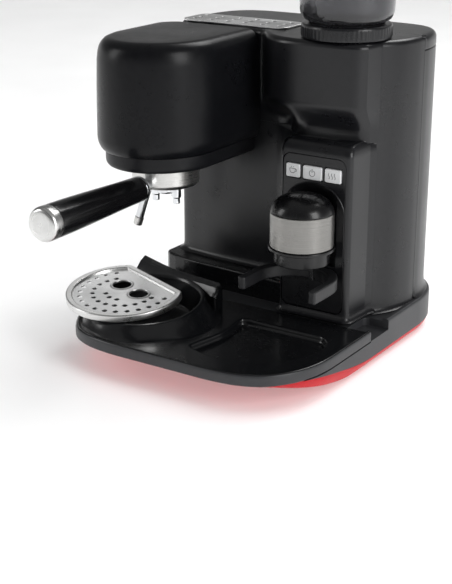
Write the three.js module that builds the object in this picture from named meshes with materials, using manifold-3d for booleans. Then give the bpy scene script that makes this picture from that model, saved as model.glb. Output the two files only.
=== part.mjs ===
// Espresso machine with a built-in coffee grinder.
// Millimetres, +Z up, +X to the machine's right-hand side as seen from the front, -Y forward.
// The plan coordinates below have y = 0 at the front edge of the base; the whole machine is
// moved at the end so that the origin is under the centre of its bounding box, on the floor.
import * as THREE from 'three';
import { mergeVertices } from 'three/addons/utils/BufferGeometryUtils.js';
import Module from 'manifold-3d';

const wasm = await Module();
wasm.setup();

// ---------------------------------------------------------------- driving dimensions
const ORIGIN_X = 87.65;          // plan point that becomes x = 0
const ORIGIN_Y = 154.5;         // plan point that becomes y = 0
const GAP = 0.3;                // running gap between touching pieces

const BASE_CX = 103.5;          // centre line of the base
const FOOT_H = 3.0;
const RIM_Z = 40;               // top of the base and tray rim
const DECK_Z = 27.6;            // top of the base frame under the tray
const TRAY_BACK = 168.4;        // rear edge of the drip tray
const NOTCH_Y = 207;            // rear end of the finger notch on the right
const PLATFORM_Z = 62;          // raised shelf in front of the splash wall

const BODY_Z0 = 40.3;           // underside of the body shell
const BODY_TOP = 318;           // top of the body shell
const SEAM_Y = 276;             // joint between body shell and water tank
const WALL = 3;

const GROUP_X = 16, GROUP_Y = 140;      // brewing axis
const HEAD_R = 75, HEAD_W = 65;         // head front radius and half width
const COLLAR_R = 66, COLLAR_W = 58;
const COLLAR_Z0 = 190, COLLAR_Z1 = 205;
const HEAD_TOP = 318;
const FILTER_R = 35;                    // portafilter ring radius
const HANDLE_Z = 169;
const HANDLE_TIP_Y = -57;

const CHUTE_X = 173, CHUTE_Y = 151;     // ground-coffee outlet axis
const BAND_R = 31.8;
const FORK_Z0 = 82, FORK_Z1 = 95;

const GRID_C = [5.5, 79.1];             // drip grid: centre of its round edge in plan
const GRID_YAW = -17.4 * Math.PI / 180;
const GRID_SLOPE = [-0.028, 0.107];     // plane z = GRID_Z + slope . (x - 10, y - 100)
const GRID_Z = 66;
const GRID_R = 61, GRID_CHORD = 40.5;   // outer radius, distance of the straight edge

const BURR_X = 176, BURR_Y = 226;       // grinder axis

// ---------------------------------------------------------------- helpers
const V = (x, y, z) => [x, y, z];

function fromRings(rings, { closed = false, capA = null, capB = null } = {}) {
  // rings of equal length, joined one to the next; the ends are closed with fans
  const n = rings[0].length, pos = [], idx = [];
  rings.forEach(r => r.forEach(p => pos.push(p[0], p[1], p[2])));
  const m = rings.length;
  const last = closed ? m : m - 1;
  for (let i = 0; i < last; i++) {
    const a = i * n, b = ((i + 1) % m) * n;
    for (let j = 0; j < n; j++) {
      const k = (j + 1) % n;
      idx.push(a + j, a + k, b + k, a + j, b + k, b + j);
    }
  }
  if (!closed) {
    const fan = (ring, off, centre, flip) => {
      const c = centre || ring.reduce((s, p) => [s[0] + p[0] / n, s[1] + p[1] / n, s[2] + p[2] / n], [0, 0, 0]);
      const ci = pos.length / 3;
      pos.push(c[0], c[1], c[2]);
      for (let j = 0; j < n; j++) {
        const k = (j + 1) % n;
        if (flip) idx.push(ci, off + j, off + k); else idx.push(ci, off + k, off + j);
      }
    };
    fan(rings[0], 0, capA, false);
    fan(rings[m - 1], (m - 1) * n, capB, true);
  }
  let vol = 0;
  for (let t = 0; t < idx.length; t += 3) {
    const [a, b, c] = [idx[t], idx[t + 1], idx[t + 2]].map(i => [pos[3 * i], pos[3 * i + 1], pos[3 * i + 2]]);
    vol += (a[0] * (b[1] * c[2] - b[2] * c[1]) - a[1] * (b[0] * c[2] - b[2] * c[0]) + a[2] * (b[0] * c[1] - b[1] * c[0])) / 6;
  }
  if (vol < 0) for (let t = 0; t < idx.length; t += 3) { const s = idx[t + 1]; idx[t + 1] = idx[t + 2]; idx[t + 2] = s; }
  const g = new THREE.BufferGeometry();
  g.setAttribute('position', new THREE.BufferAttribute(new Float32Array(pos), 3));
  g.setIndex(idx);
  return g;
}

const circle = (cx, cy, r, z, n = 32) =>
  Array.from({ length: n }, (_, i) => V(cx + r * Math.cos(2 * Math.PI * i / n), cy + r * Math.sin(2 * Math.PI * i / n), z));

// turned piece about a vertical axis: [radius, height] pairs from one end to the other
function turned(profile, cx = 0, cy = 0, n = 24, closed = false) {
  return fromRings(profile.map(([r, z]) => circle(cx, cy, r, z, n)), { closed });
}

function prism(pts, z0, z1, holes = []) {
  const s = new THREE.Shape(pts.map(p => new THREE.Vector2(p[0], p[1])));
  for (const h of holes) s.holes.push(new THREE.Path(h.map(p => new THREE.Vector2(p[0], p[1]))));
  const g = new THREE.ExtrudeGeometry(s, { depth: z1 - z0, bevelEnabled: false, curveSegments: 1 });
  g.translate(0, 0, z0);
  return g;
}
const box = (x0, x1, y0, y1, z0, z1) => {
  const g = new THREE.BoxGeometry(x1 - x0, y1 - y0, z1 - z0);
  g.translate((x0 + x1) / 2, (y0 + y1) / 2, (z0 + z1) / 2);
  return g;
};
function rrect(x0, x1, y0, y1, r, n = 5) {
  const out = [];
  const c = [[x1 - r, y0 + r, -90], [x1 - r, y1 - r, 0], [x0 + r, y1 - r, 90], [x0 + r, y0 + r, 180]];
  for (const [cx, cy, a0] of c) for (let i = 0; i <= n; i++) {
    const a = (a0 + 90 * i / n) * Math.PI / 180;
    out.push([cx + r * Math.cos(a), cy + r * Math.sin(a)]);
  }
  return out;
}
const disc2 = (cx, cy, r, n = 16) => circle(cx, cy, r, 0, n).map(p => [p[0], p[1]]);
const up = (poly, z) => poly.map(p => V(p[0], p[1], z));

// a face drawn as (x, z) outline and given a depth from y0 to y1
function plateXZ(pts, y0, y1, holes = []) {
  const g = prism(pts, 0, y1 - y0, holes);
  g.rotateX(Math.PI / 2);                 // (x, y, z) -> (x, -z, y)
  g.translate(0, y1, 0);
  return g;
}

function solid(g) {
  g = g.clone();
  g.deleteAttribute('normal'); g.deleteAttribute('uv');
  const m = mergeVertices(g, 1e-4);
  const idx = [];
  const a = m.index.array;
  for (let t = 0; t < a.length; t += 3) if (a[t] !== a[t + 1] && a[t + 1] !== a[t + 2] && a[t] !== a[t + 2]) idx.push(a[t], a[t + 1], a[t + 2]);
  return new wasm.Manifold(new wasm.Mesh({
    numProp: 3, vertProperties: new Float32Array(m.attributes.position.array), triVerts: new Uint32Array(idx),
  }));
}
function back(m) {
  const k = m.getMesh(), n = k.numProp, g = new THREE.BufferGeometry();
  const p = new Float32Array(k.numVert * 3);
  for (let i = 0; i < k.numVert; i++) for (let j = 0; j < 3; j++) p[3 * i + j] = k.vertProperties[n * i + j];
  g.setAttribute('position', new THREE.BufferAttribute(p, 3));
  g.setIndex(Array.from(k.triVerts));
  return g;
}
const join = (...gs) => back(gs.map(solid).reduce((a, b) => a.add(b)));
const cut = (g, ...tools) => back(tools.map(solid).reduce((a, b) => a.subtract(b), solid(g)));
const common = (a, b) => back(solid(a).intersect(solid(b)));

const machine = new THREE.Group();
machine.position.set(-ORIGIN_X, -ORIGIN_Y, 0);
const M = (color, roughness, metalness) => ({ color, roughness, metalness });
const BLACK = M(0x17181a, 0.42, 0), DARK = M(0x2a2c2f, 0.5, 0), GLOSS = M(0x08080a, 0.12, 0), RED = M(0xc01f2c, 0.35, 0),
  STEEL = M(0xc4c5c4, 0.3, 1), CHROME = M(0xd8dade, 0.12, 1), WHITE = M(0xe6e7e8, 0.35, 0), RUBBER = M(0x141414, 0.9, 0),
  BRASS = M(0xb08d4a, 0.35, 1), ALU = M(0xa9abae, 0.45, 1), SMOKE = M(0x3a3c3f, 0.1, 0), GREEN = M(0x1e5a36, 0.6, 0),
  SILICONE = M(0x9b3b2e, 0.8, 0), WHITEPL = M(0xcfd2d4, 0.5, 0);
function part(name, geometry, m, parent = machine) {
  const g = geometry.clone();
  g.deleteAttribute('uv');
  if (!g.attributes.normal) g.computeVertexNormals();
  const mesh = new THREE.Mesh(g, new THREE.MeshStandardMaterial(m));
  mesh.name = name;
  parent.add(mesh);
  return mesh;
}

// ---------------------------------------------------------------- base outline
// right half of the base outline, from the middle of the front edge to the middle of the back edge
const HALF = [[0, 0], [30, 0], [56, 0.2], [75.5, 2], [87.5, 4.6], [97.5, 8.2], [107.5, 13.4], [115.5, 20], [122.6, 28.5], [129, 38], [134, 49],
  [138, 62], [140.6, 78], [141.5, 98], [141.5, 150], [141.5, 207], [141.5, 260], [141.3, 285], [138.8, 305], [133.8, 320], [126, 333.5], [115.5, 345], [105.5, 352], [90, 358], [70, 361.3], [35, 362.4], [0, 362.6]];
const OUTLINE = [...HALF.map(([x, y]) => [BASE_CX + x, y]), ...HALF.slice(1, -1).reverse().map(([x, y]) => [BASE_CX - x, y])];
function inset(poly, d) {
  const n = poly.length, dist = typeof d === 'function' ? d : () => d;
  return poly.map((p, i) => {
    const a = poly[(i + n - 1) % n], b = poly[(i + 1) % n];
    const tx = b[0] - a[0], ty = b[1] - a[1], l = Math.hypot(tx, ty);
    const k = dist(p[1], p[0]);
    return [p[0] - ty / l * k, p[1] + tx / l * k];
  });
}
const smooth = (a, b, t) => { const s = Math.min(1, Math.max(0, (t - a) / (b - a))); return s * s * (3 - 2 * s); };
const lerp = (a, b, t) => a + (b - a) * t;
const redTop = y => lerp(28, 9.6, smooth(30, 175, y));       // where the red shell meets the dark frame
const redBottom = y => lerp(26, 3.3, smooth(-5, 150, y) ** 0.8);    // lower edge of the red shell: it lifts to the front
const ringAt = (d, zf) => inset(OUTLINE, d).map((p, i) => V(p[0], p[1], zf(OUTLINE[i][1])));

// ---------------------------------------------------------------- red lower shell and feet
const panFlat = OUTLINE.map(([x, y]) => V(BASE_CX + (x - BASE_CX) * 0.72, 70 + y * 0.695, FOOT_H));
const panInset = y => lerp(10, 3, smooth(0, 160, y));
part('lower_base_pan', fromRings([
  panFlat, ringAt(panInset, y => Math.max(redBottom(y), 4.4)),
  ringAt(y => lerp(6.5, 1.6, smooth(0, 160, y)), y => lerp(redBottom(y), redTop(y), 0.45)),
  ringAt(y => lerp(5, 1.2, smooth(0, 160, y)), redTop), ringAt(12.6, redTop), ringAt(16, y => Math.min(redTop(y) - 0.6, lerp(23.4, 8.2, smooth(20, 120, y)))), panFlat.map(([x, y]) => V(x, y + 2, 6.4)),
], { capA: [BASE_CX, 190, FOOT_H], capB: [BASE_CX, 192, 6.4] }), RED);
for (const [n, x, y] of [['front_left', 30, 92], ['front_right', 177, 92], ['rear_left', 16, 300], ['rear_right', 191, 300]])
  part('foot_' + n, turned([[9.5, 0], [10.5, 0.8], [10.5, FOOT_H - 0.05]], x, y, 20), RUBBER);

// ---------------------------------------------------------------- base frame with the raised shelf
const frameBlank = fromRings([
  ringAt(40, () => 24), ringAt(17, () => 24), ringAt(14, y => redTop(y) + 0.4), ringAt(0, y => redTop(y) + 0.4), ringAt(0, () => RIM_Z), ringAt(40, () => RIM_Z),
], { capA: [BASE_CX, 181, 24], capB: [BASE_CX, 181, RIM_Z] });
const WALL_LINE = [[-30, 252], [-27, 240.5], [-22, 233.5], [-14, 228.5], [3, 224.6], [29, 221.8], [54, 220.2], [100, 219], [134, 219]];
const shelf = prism([[-37.6, 212.5], [-32, 209.5], [-19, 204], [-5, 200.4], [12, 198.6], [45, 197], [71, 195], [100, 193.4], [133.4, 192.4], [133.4, 218.4], [100, 218.4],
  [54, 219.6], [29, 221.2], [3, 224], [-14.4, 227.8], [-22.6, 232.8], [-27.8, 240.2], [-31, 252], [-37.6, 252]], 30, PLATFORM_Z);
part('base_frame', cut(join(frameBlank, shelf),
  box(-60, 260, -10, TRAY_BACK + 0.4, DECK_Z, 80),
  box(217.5, 260, 160, NOTCH_Y, 29, 80),
  box(-20, 214, 60, 330, 10, 22)), DARK);

// ---------------------------------------------------------------- drip tray with its round cup stand
const gridPlane = (x, y) => GRID_Z + GRID_SLOPE[0] * (x - 10) + GRID_SLOPE[1] * (y - 100);
const trayBlank = common(prism(OUTLINE, DECK_Z + 0.5, RIM_Z), box(-60, 260, -10, TRAY_BACK, 20, 60));
const deckCut = common(prism(inset(OUTLINE, 4.6), RIM_Z - 2.2, RIM_Z + 5), box(-60, 260, -10, TRAY_BACK + 2, 20, 60));
const RECESS = [[116, 129], [118, 132.4], [162, 133], [208, 132.4], [213.5, 129.5], [220, 122], [223.4, 111], [222.6, 98], [219.5, 84], [215, 71], [208, 60], [199, 49.5], [188, 41], [176, 35.5],
  [160, 33], [140, 34], [124, 38], [113, 43.5], [113.5, 52], [116.5, 68], [119.5, 88], [118.5, 108]];
const bowlRim = (x, y) => gridPlane(x, y) - 8.4;
const bowlRing = (cx, cy, r, zf) => circle(cx, cy, r, 0, 40).map(p => V(p[0], p[1], typeof zf === 'function' ? zf(p[0], p[1]) : zf));
const bowlOuter = fromRings([
  bowlRing(37, 80, 73.5, 36), bowlRing(37, 80, 73.5, 37.9), bowlRing(35.5, 81, 70, 38.9), bowlRing(33, 82.2, 66.8, (x, y) => lerp(38.9, bowlRim(x, y), 0.28)),
  bowlRing(28, 85, 63, (x, y) => lerp(38.9, bowlRim(x, y), 0.7)), bowlRing(25, 87, 61, bowlRim)]);
const bowlInner = fromRings([
  bowlRing(27, 85, 46, 31.2), bowlRing(27, 85, 51, 33.5), bowlRing(25.5, 86.5, 56.5, (x, y) => bowlRim(x, y) - 3), bowlRing(25, 87, 58.3, (x, y) => bowlRim(x, y) + 0.01), bowlRing(25, 87, 58.3, 110)]);
const LEDGE = [[-31, 165.5, 70.5, 163.3, 151, 61.5], [-26, 163.8, 70.3, 161.4, 149.5, 61], [0, 159.4, 66.6, 157, 147, 59], [30, 156, 64.2, 153.4, 144, 57], [60, 152.4, 64, 149.6, 141, 56], [78, 148.4, 64.6, 146, 137.5, 56]];
const ledge = fromRings(LEDGE.map(([x, yb, zt, yft, yfb, zin]) => [V(x, yb, 37), V(x, yb, zt), V(x, yft, zt), V(x, yfb, zin), V(x, yfb - 3, 37)]));
part('drip_tray', cut(join(cut(trayBlank, deckCut), bowlOuter, ledge), bowlInner, prism(RECESS, 30.6, 60)), BLACK);

// ---------------------------------------------------------------- steel drip grid (D shape)
function dShape(r, chord, rc, n = 30) {
  // circle of radius r cut by the line y = chord, with rounded corners
  const a0 = Math.asin(chord / r), out = [];
  const start = Math.PI - a0 + 0.16, end = 2 * Math.PI + a0 - 0.16;
  for (let i = 0; i <= n; i++) { const a = lerp(start, end, i / n); out.push([r * Math.cos(a), r * Math.sin(a)]); }
  const xr = Math.sqrt(r * r - chord * chord);
  for (const s of [1, -1]) {
    const pts = [];
    for (let i = 1; i <= 4; i++) {
      const t = i / 5;
      const p0 = [r * Math.cos(end), r * Math.sin(end)], p1 = [xr, chord], p2 = [xr - rc, chord];
      pts.push([(1 - t) ** 2 * p0[0] + 2 * t * (1 - t) * p1[0] + t * t * p2[0], (1 - t) ** 2 * p0[1] + 2 * t * (1 - t) * p1[1] + t * t * p2[1]]);
    }
    pts.push([xr - rc, chord]);
    if (s === 1) out.push(...pts); else out.push(...pts.reverse().map(([x, y]) => [-x, y]));
  }
  return out;
}
const polar = (r, deg) => [r * Math.cos(deg * Math.PI / 180), r * Math.sin(deg * Math.PI / 180)];
const SMALL = [];
for (const a of [-120, -90, -60]) SMALL.push(polar(19.5, a));
for (let k = -6; k <= 6; k++) SMALL.push(polar(33, -90 + 18.3 * k));
for (let k = -8; k <= 8; k++) SMALL.push(polar(46.3, -90 + 14.4 * k));
const gridRim = prism(dShape(GRID_R, GRID_CHORD, 7), -7.5, 0, [dShape(GRID_R - 7, GRID_CHORD - 4.6, 5).reverse()]);
const gridPlate = prism(dShape(GRID_R - 5, GRID_CHORD - 2.6, 6), -4, -2.4,
  [disc2(-14.8, 7, 9.8, 16), disc2(14.8, 7, 9.8, 16), ...SMALL.map(([x, y]) => disc2(x, y, 2.1, 6))]);
const gu = new THREE.Vector3(Math.cos(GRID_YAW), Math.sin(GRID_YAW), 0);
gu.z = GRID_SLOPE[0] * gu.x + GRID_SLOPE[1] * gu.y; gu.normalize();
const gn = new THREE.Vector3(-GRID_SLOPE[0], -GRID_SLOPE[1], 1).normalize();
const gw = new THREE.Vector3().crossVectors(gn, gu);
const gridMesh = part('drip_grid', join(gridRim, gridPlate), STEEL);
gridMesh.setRotationFromMatrix(new THREE.Matrix4().makeBasis(gu, gw, gn));
gridMesh.position.set(GRID_C[0], GRID_C[1], gridPlane(GRID_C[0], GRID_C[1]));

// ---------------------------------------------------------------- body shell
const RIGHT_SIDE = [[219.4, 217], [224.4, 225], [229, 233.6], [232.6, 243], [235.4, 254], [237.4, 266], [238, SEAM_Y]];
const BODY = [...WALL_LINE, [134.4, 200], [140, 197.8], [186, 197.4], [203, 200], [214, 206], ...RIGHT_SIDE, [-31, SEAM_Y], [-31, 260]];
const COLUMN = [[134, 240], [134, 176.5], [134.8, 174.2], [136.6, 172.8], [139, 172.4], [208.6, 172.4], [211.6, 173.2], [213.4, 175.4], [214.2, 182], [215.2, 196], [216.6, 210], [219.2, 217], [219.2, 240]];
// the head end of the body widens from the splash wall to the grinder housing above the column
const UPPER = [[-31, 262], [-31, 250], [-29, 241], [-24, 234], [-15, 229], [3, 225], [54, 220.4], [81, 219.8], [92, 209], [103, 198], [118, 189.5], [140, 185], [192, 185], [207, 188.5], [216, 197], ...RIGHT_SIDE, [-31, SEAM_Y]];
const FOOT_Y = { 92: 219.4, 103: 219.4, 118: 219.4, 140: 197.8, 192: 198, 207: 201.6, 216: 209 };
const UPPER_FOOT = UPPER.map(([x, y]) => [x, FOOT_Y[x] || y]);
const COLUMN_TOP = 222;
const lowerBody = prism(BODY, BODY_Z0, COLUMN_TOP + 2);
const capRings = [COLUMN.map(([x, y]) => V(x, y, BODY_Z0 + 0.01))];
for (let i = 0; i <= 5; i++) {
  const a = i / 5 * Math.PI / 2;
  const k = 12 * (1 - Math.cos(a)), z = COLUMN_TOP - 12 + 12 * Math.sin(a);
  capRings.push(COLUMN.map(([x, y]) => V(x + (x < 175 ? 0.5 : -0.5) * k, y < 200 ? y + k : y, z)));
}
const column = fromRings(capRings, { capA: [175, 215, BODY_Z0 + 0.01], capB: [175, 215, COLUMN_TOP] });
const upperBody = fromRings([up(UPPER_FOOT, COLUMN_TOP - 2), up(UPPER_FOOT, COLUMN_TOP + 6), up(UPPER, COLUMN_TOP + 34), up(UPPER, BODY_TOP)],
  { capA: [150, 252, COLUMN_TOP - 2], capB: [150, 252, BODY_TOP] });
const bodyBlank = join(lowerBody, column, upperBody);
// round niche with an arched top, around the chute
const arch = [[CHUTE_X - 34.7, 97], [CHUTE_X + 34.7, 97]];
for (let i = 0; i <= 14; i++) { const a = i / 14 * Math.PI; arch.push([CHUTE_X + 34.7 * Math.cos(a), 150 + 31 * Math.sin(a)]); }
const alcove = common(prism(circle(CHUTE_X, CHUTE_Y, 34.6, 0, 40).map(p => [p[0], p[1]]), 97, 190), plateXZ(arch, 100, 200));
const body = cut(bodyBlank,
  box(-25, 128, 230, SEAM_Y - 2.5, 20, BODY_TOP - 3),                       // left chamber, open below
  box(138, 208, 190, SEAM_Y - 2.5, 20, 196),                               // column chamber, open below
  box(200, 214, 224, SEAM_Y - 2.5, 20, 200),
  prism([[141, 201.5], [198, 201.5], [206, 207], [214, 217], [214, SEAM_Y - 2.5], [141, SEAM_Y - 2.5]], 195, 258),   // grinder chamber
  prism([[141, 189], [198, 189], [206, 194], [213, 205], [213, SEAM_Y - 2.5], [141, SEAM_Y - 2.5]], 257, BODY_TOP - 3),
  prism([[106, 207], [120, 199], [142, 195], [142, SEAM_Y - 2.5], [106, SEAM_Y - 2.5]], 262, BODY_TOP - 3),
  box(120, 145, 236, SEAM_Y - 2.5, 60, BODY_TOP - 3),                      // passage between them
  box(138, 207, 180, 190.5, 180, 202),                                     // room behind the buttons
  alcove,
  plateXZ(rrect(136.8, 209.2, 47, 208.4, 9, 5), 160, 176.2),               // pocket for the panel
  plateXZ(rrect(139.6, 205.4, 181.6, 199.6, 2, 2), 170, 184),              // button opening
  turned([[35, 300], [35, 330]], BURR_X, BURR_Y, 22));                     // hopper throat
part('main_body_shell', body, BLACK);

// ---------------------------------------------------------------- control panel and buttons
const BUTTONS = [['cup', 141.4, 157.2], ['power', 160.6, 182.2], ['steam', 185.4, 203.6]];
const panel = cut(plateXZ(rrect(137.2, 208.8, 47.4, 208, 8.6, 5), 173.2, 175.9,
  BUTTONS.map(([, a, b]) => rrect(a - 0.5, b + 0.5, 183.2, 198, 1.2, 2).reverse())), alcove);
part('control_panel', panel, BLACK);
for (const [n, a, b] of BUTTONS) {
  part('button_' + n, join(plateXZ(rrect(a, b, 183.7, 197.5, 1, 2), 171.6, 178.4), plateXZ(rrect(a - 1, b + 1, 183.1, 198.1, 1, 2), 176.5, 178.4)), WHITE);
}
part('button_board', box(139, 206.4, 186, 187.6, 181.2, 201), GREEN);

// ---------------------------------------------------------------- ground-coffee chute
part('chute_dome', turned([[1, 174.8], [12, 174.2], [20, 172.2], [26, 168.8], [30, 163.8], [31.8, 158.6], [31.9, 157.3], [29, 157.3], [27, 163], [20, 169], [8, 171]], CHUTE_X, CHUTE_Y, 28, false), GLOSS);
part('chute_band', turned([[BAND_R, 122.3], [BAND_R, 157], [29.4, 157], [29.4, 122.3]], CHUTE_X, CHUTE_Y, 28, true), STEEL);
part('chute_ring', turned([[33, 118.6], [33.4, 119.6], [33.2, 122], [24.6, 122], [24.6, 118.6]], CHUTE_X, CHUTE_Y, 28, true), GLOSS);
part('chute_neck', turned([[27.4, 104.6], [28, 106], [28, 118.3], [22.4, 118.3], [22.4, 104.6]], CHUTE_X, CHUTE_Y + 1, 28, true), BLACK);

// ---------------------------------------------------------------- portafilter fork and start lever
const forkPts = [[129, 103.4], [130.6, 101.6], [135.6, 101.6], [137, 103.4]];
const FC = [173, 131];
for (let i = 0; i <= 14; i++) { const a = Math.PI - i / 14 * Math.PI; forkPts.push([FC[0] + 36 * Math.cos(a), FC[1] + 36.4 * Math.sin(a)]); }
forkPts.push([209, 103.4], [210.6, 101.6], [215.6, 101.6], [217, 103.4]);
for (let i = 0; i <= 14; i++) { const a = i / 14 * Math.PI; forkPts.push([FC[0] + 44 * Math.cos(a), FC[1] + 4 + 44 * Math.sin(a)]); }
const fork = common(prism(forkPts, FORK_Z0, FORK_Z1), box(120, 230, 90, 172, 60, 110));
part('portafilter_fork', fork, DARK);
part('grinder_trigger', join(box(178, 182, 158.6, 161.2, 84, 103.6), box(178, 182, 158.6, 178, 99.6, 103.6)), BLACK);

// ---------------------------------------------------------------- brewing head
function stadium(r, w, yBack, n = 22) {
  // round nose of reach r and half width w, straight sides running back to the splash wall
  const out = [];
  for (let i = 0; i <= n; i++) { const a = Math.PI + i / n * Math.PI; out.push([GROUP_X + w * Math.cos(a), GROUP_Y + r * Math.sin(a)]); }
  out.push([GROUP_X + w, yBack], [GROUP_X - w + 18, yBack], [GROUP_X - w, yBack - 8]);
  return out;
}
const HEAD_BACK = 218.6;
const headRing = (k, z, b = 0) => up(stadium(HEAD_R - k, HEAD_W - k * 0.9, HEAD_BACK - b - Math.max(0, k - 8) * 0.6), z);
part('head_shell', fromRings([
  headRing(24, 310, 3), headRing(13, 306, 3), headRing(6.5, 294, 3.4), headRing(5, COLLAR_Z1 + 12, 3.4), headRing(9.6, COLLAR_Z1 + 3, 3.4), headRing(9.6, COLLAR_Z1 + 0.6, 3.4), headRing(7.6, COLLAR_Z1 + 0.6), headRing(5.4, COLLAR_Z1 + 1.4),
  headRing(2.2, COLLAR_Z1 + 4.6), headRing(0, COLLAR_Z1 + 12), headRing(0.6, 250), headRing(2, 296), headRing(5, 309), headRing(11, 315.6), headRing(20, HEAD_TOP)],
  { capA: [GROUP_X, GROUP_Y + 10, 310], capB: [GROUP_X, GROUP_Y + 10, HEAD_TOP] }), BLACK);
const collarRing = (k, z) => up(stadium(COLLAR_R - k, COLLAR_W - k, HEAD_BACK), z);
part('head_collar', cut(fromRings([collarRing(3, COLLAR_Z0), collarRing(0.6, COLLAR_Z0 + 1.6), collarRing(0, COLLAR_Z0 + 4), collarRing(0, COLLAR_Z1)]),
  turned([[49.5, 180], [49.5, 215]], GROUP_X, GROUP_Y, 28)), BLACK);
part('group_head', turned([[1, 216], [49, 216], [49, 191], [37, 191], [37, 192.4], [41.4, 192.4], [41.4, 202.4], [1, 202.4]], GROUP_X, GROUP_Y, 28), ALU);
part('group_gasket', turned([[35.4, 199.5], [35.4, 202.1], [29.6, 202.1], [29.6, 199.5]], GROUP_X, GROUP_Y, 24, true), SILICONE);
part('shower_screen', turned([[28.4, 199.4], [28.4, 202.1], [4.4, 202.1], [4.4, 199.4]], GROUP_X, GROUP_Y, 24, true), STEEL);
part('shower_screw', turned([[4, 197.6], [4, 199.2], [2, 199.2], [2, 202.2]], GROUP_X, GROUP_Y, 16), STEEL);
part('thermoblock', join(prism(rrect(GROUP_X - 34, GROUP_X + 34, GROUP_Y - 36, GROUP_Y + 40, 8, 3), 222, 262), turned([[7, 261], [7, 268]], GROUP_X, GROUP_Y, 16)), ALU);

// ---------------------------------------------------------------- portafilter
const lug = a => { const g = box(33, 40.4, -7, 7, 193, 196.6); g.rotateZ(a); g.translate(GROUP_X, GROUP_Y, 0); return g; };
part('portafilter_body', cut(join(
  turned([[1, 164], [26, 164], [30, 164.8], [34.4, 166.4], [FILTER_R, 168], [FILTER_R, 188.4], [34.2, 189.6], [34.2, 198.2], [31.2, 198.2], [31.2, 171], [1, 168.6]], GROUP_X, GROUP_Y, 28),
  lug(0), lug(Math.PI)), turned([[4.4, 150], [4.4, 180]], GROUP_X, GROUP_Y, 16)), STEEL);
part('filter_basket', turned([[1, 174.6], [27.6, 174.6], [29, 176], [29.3, 198.5], [31.4, 198.5], [31.4, 199.1], [30, 199.1], [28.4, 198.9], [28.2, 177], [26.8, 175.7], [1, 175.5]].map(([r, z]) => [r, z]), GROUP_X, GROUP_Y, 24), STEEL);
const outlet = s => turned([[5, 162.6], [5, 151.6], [3.8, 151], [3.8, 145]], GROUP_X + s * 13, GROUP_Y, 16);
part('portafilter_spout', join(turned([[8, 155], [9.6, 156.6], [9.8, 163.6]], GROUP_X, GROUP_Y, 24),
  box(GROUP_X - 13, GROUP_X + 13, GROUP_Y - 4, GROUP_Y + 4, 156.4, 162.6), outlet(1), outlet(-1)), CHROME);
const alongY = (profile, n = 22) => { const g = turned(profile, 0, 0, n); g.rotateX(Math.PI / 2); g.translate(GROUP_X, 0, HANDLE_Z); return g; };
// profiles along the handle: [radius, -y]
part('handle_ferrule', cut(alongY([[7, -112], [7, -103], [10, -100], [12.6, -97], [13, -95], [13, -91.4]]), turned([[FILTER_R + 0.4, 100], [FILTER_R + 0.4, 250]], GROUP_X, GROUP_Y, 28)), CHROME);
part('portafilter_handle', alongY([[12.4, -91], [13, -90], [14.2, -60], [15.6, -20], [16.6, 20], [16.8, 42.6]]), GLOSS);
part('handle_end_cap', alongY([[16.9, 43], [17, 52.4], [16, 55.4], [13.6, 56.6], [6, 57]]), STEEL);

// ---------------------------------------------------------------- steam wand and knob
const WAND_TOP = [-7, 186, 184.6];
part('steam_ball_joint', turned([[5, 189.7], [7.5, 188.6], [8.2, 185], [7, 180.4], [5.4, 178.6]], WAND_TOP[0], WAND_TOP[1], 20), CHROME);
{
  const p = [new THREE.Vector3(-7, 186, 177.3), new THREE.Vector3(-7.5, 185.5, 173.4), new THREE.Vector3(-13, 179.6, 168.4), new THREE.Vector3(-20, 172, 163.4), new THREE.Vector3(-25.4, 167, 151), new THREE.Vector3(-30, 164, 135), new THREE.Vector3(-35.4, 161.6, 115)];
  const sh = new THREE.Shape(disc2(0, 0, 4.6, 12).map(q => new THREE.Vector2(q[0], q[1])));
  part('steam_wand', new THREE.ExtrudeGeometry(sh, { steps: 14, extrudePath: new THREE.CatmullRomCurve3(p), bevelEnabled: false }), CHROME);
  const t = turned([[4.9, 0], [5, 0.8], [5, 8.6], [4, 9.6]], 0, 0, 16);
  const dir = new THREE.Vector3().subVectors(p[6], p[5]).normalize();
  t.applyQuaternion(new THREE.Quaternion().setFromUnitVectors(new THREE.Vector3(0, 0, 1), dir));
  const o = p[6].clone().addScaledVector(dir, 0.5);
  t.translate(o.x, o.y, o.z);
  part('steam_tip', t, STEEL);
}
{
  const k = turned([[7, 0], [7, 2.6], [18.6, 3], [20, 4.6], [20, 17.4], [18, 19.6], [9, 20]], 0, 0, 28);
  k.rotateY(-Math.PI / 2);
  k.translate(GROUP_X - HEAD_W - 0.7, 168, 262);
  part('steam_knob', k, BLACK);
}

// ---------------------------------------------------------------- top: cup warmer, hopper and grinder
part('cup_warmer_plate', prism(rrect(-24, 104, 226, 272, 10, 4), BODY_TOP + 0.3, BODY_TOP + 2.3,
  Array.from({ length: 18 }, (_, i) => disc2(-12 + (i % 6) * 21, 237 + Math.floor(i / 6) * 12, 3, 6).reverse())), STEEL);
part('grind_adjust_ring', turned([[42, 318.6], [45, 319.4], [45.4, 330.8], [44, 332.4], [37.4, 332.4], [37.4, 318.6]], BURR_X, BURR_Y, 28, true), BLACK);
part('bean_hopper', turned([[33, 306], [33, 318.4], [36.6, 318.4], [36.6, 333], [43.6, 336.6], [46.6, 343], [48.6, 396], [46.4, 396], [44.4, 344], [42, 338.6], [34.4, 334.6], [34.4, 320.4], [30.6, 320.4], [30.6, 306]].map(([r, z]) => [r, z]), BURR_X, BURR_Y, 28, true), SMOKE);
part('hopper_lid', turned([[1, 408.4], [20, 408], [47, 404.4], [49.8, 400], [49.6, 396.3], [45.8, 396.3], [45.6, 387], [43.6, 387], [43.6, 398], [41.6, 401], [20, 404.6], [1, 405]], BURR_X, BURR_Y, 28), SMOKE);
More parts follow.
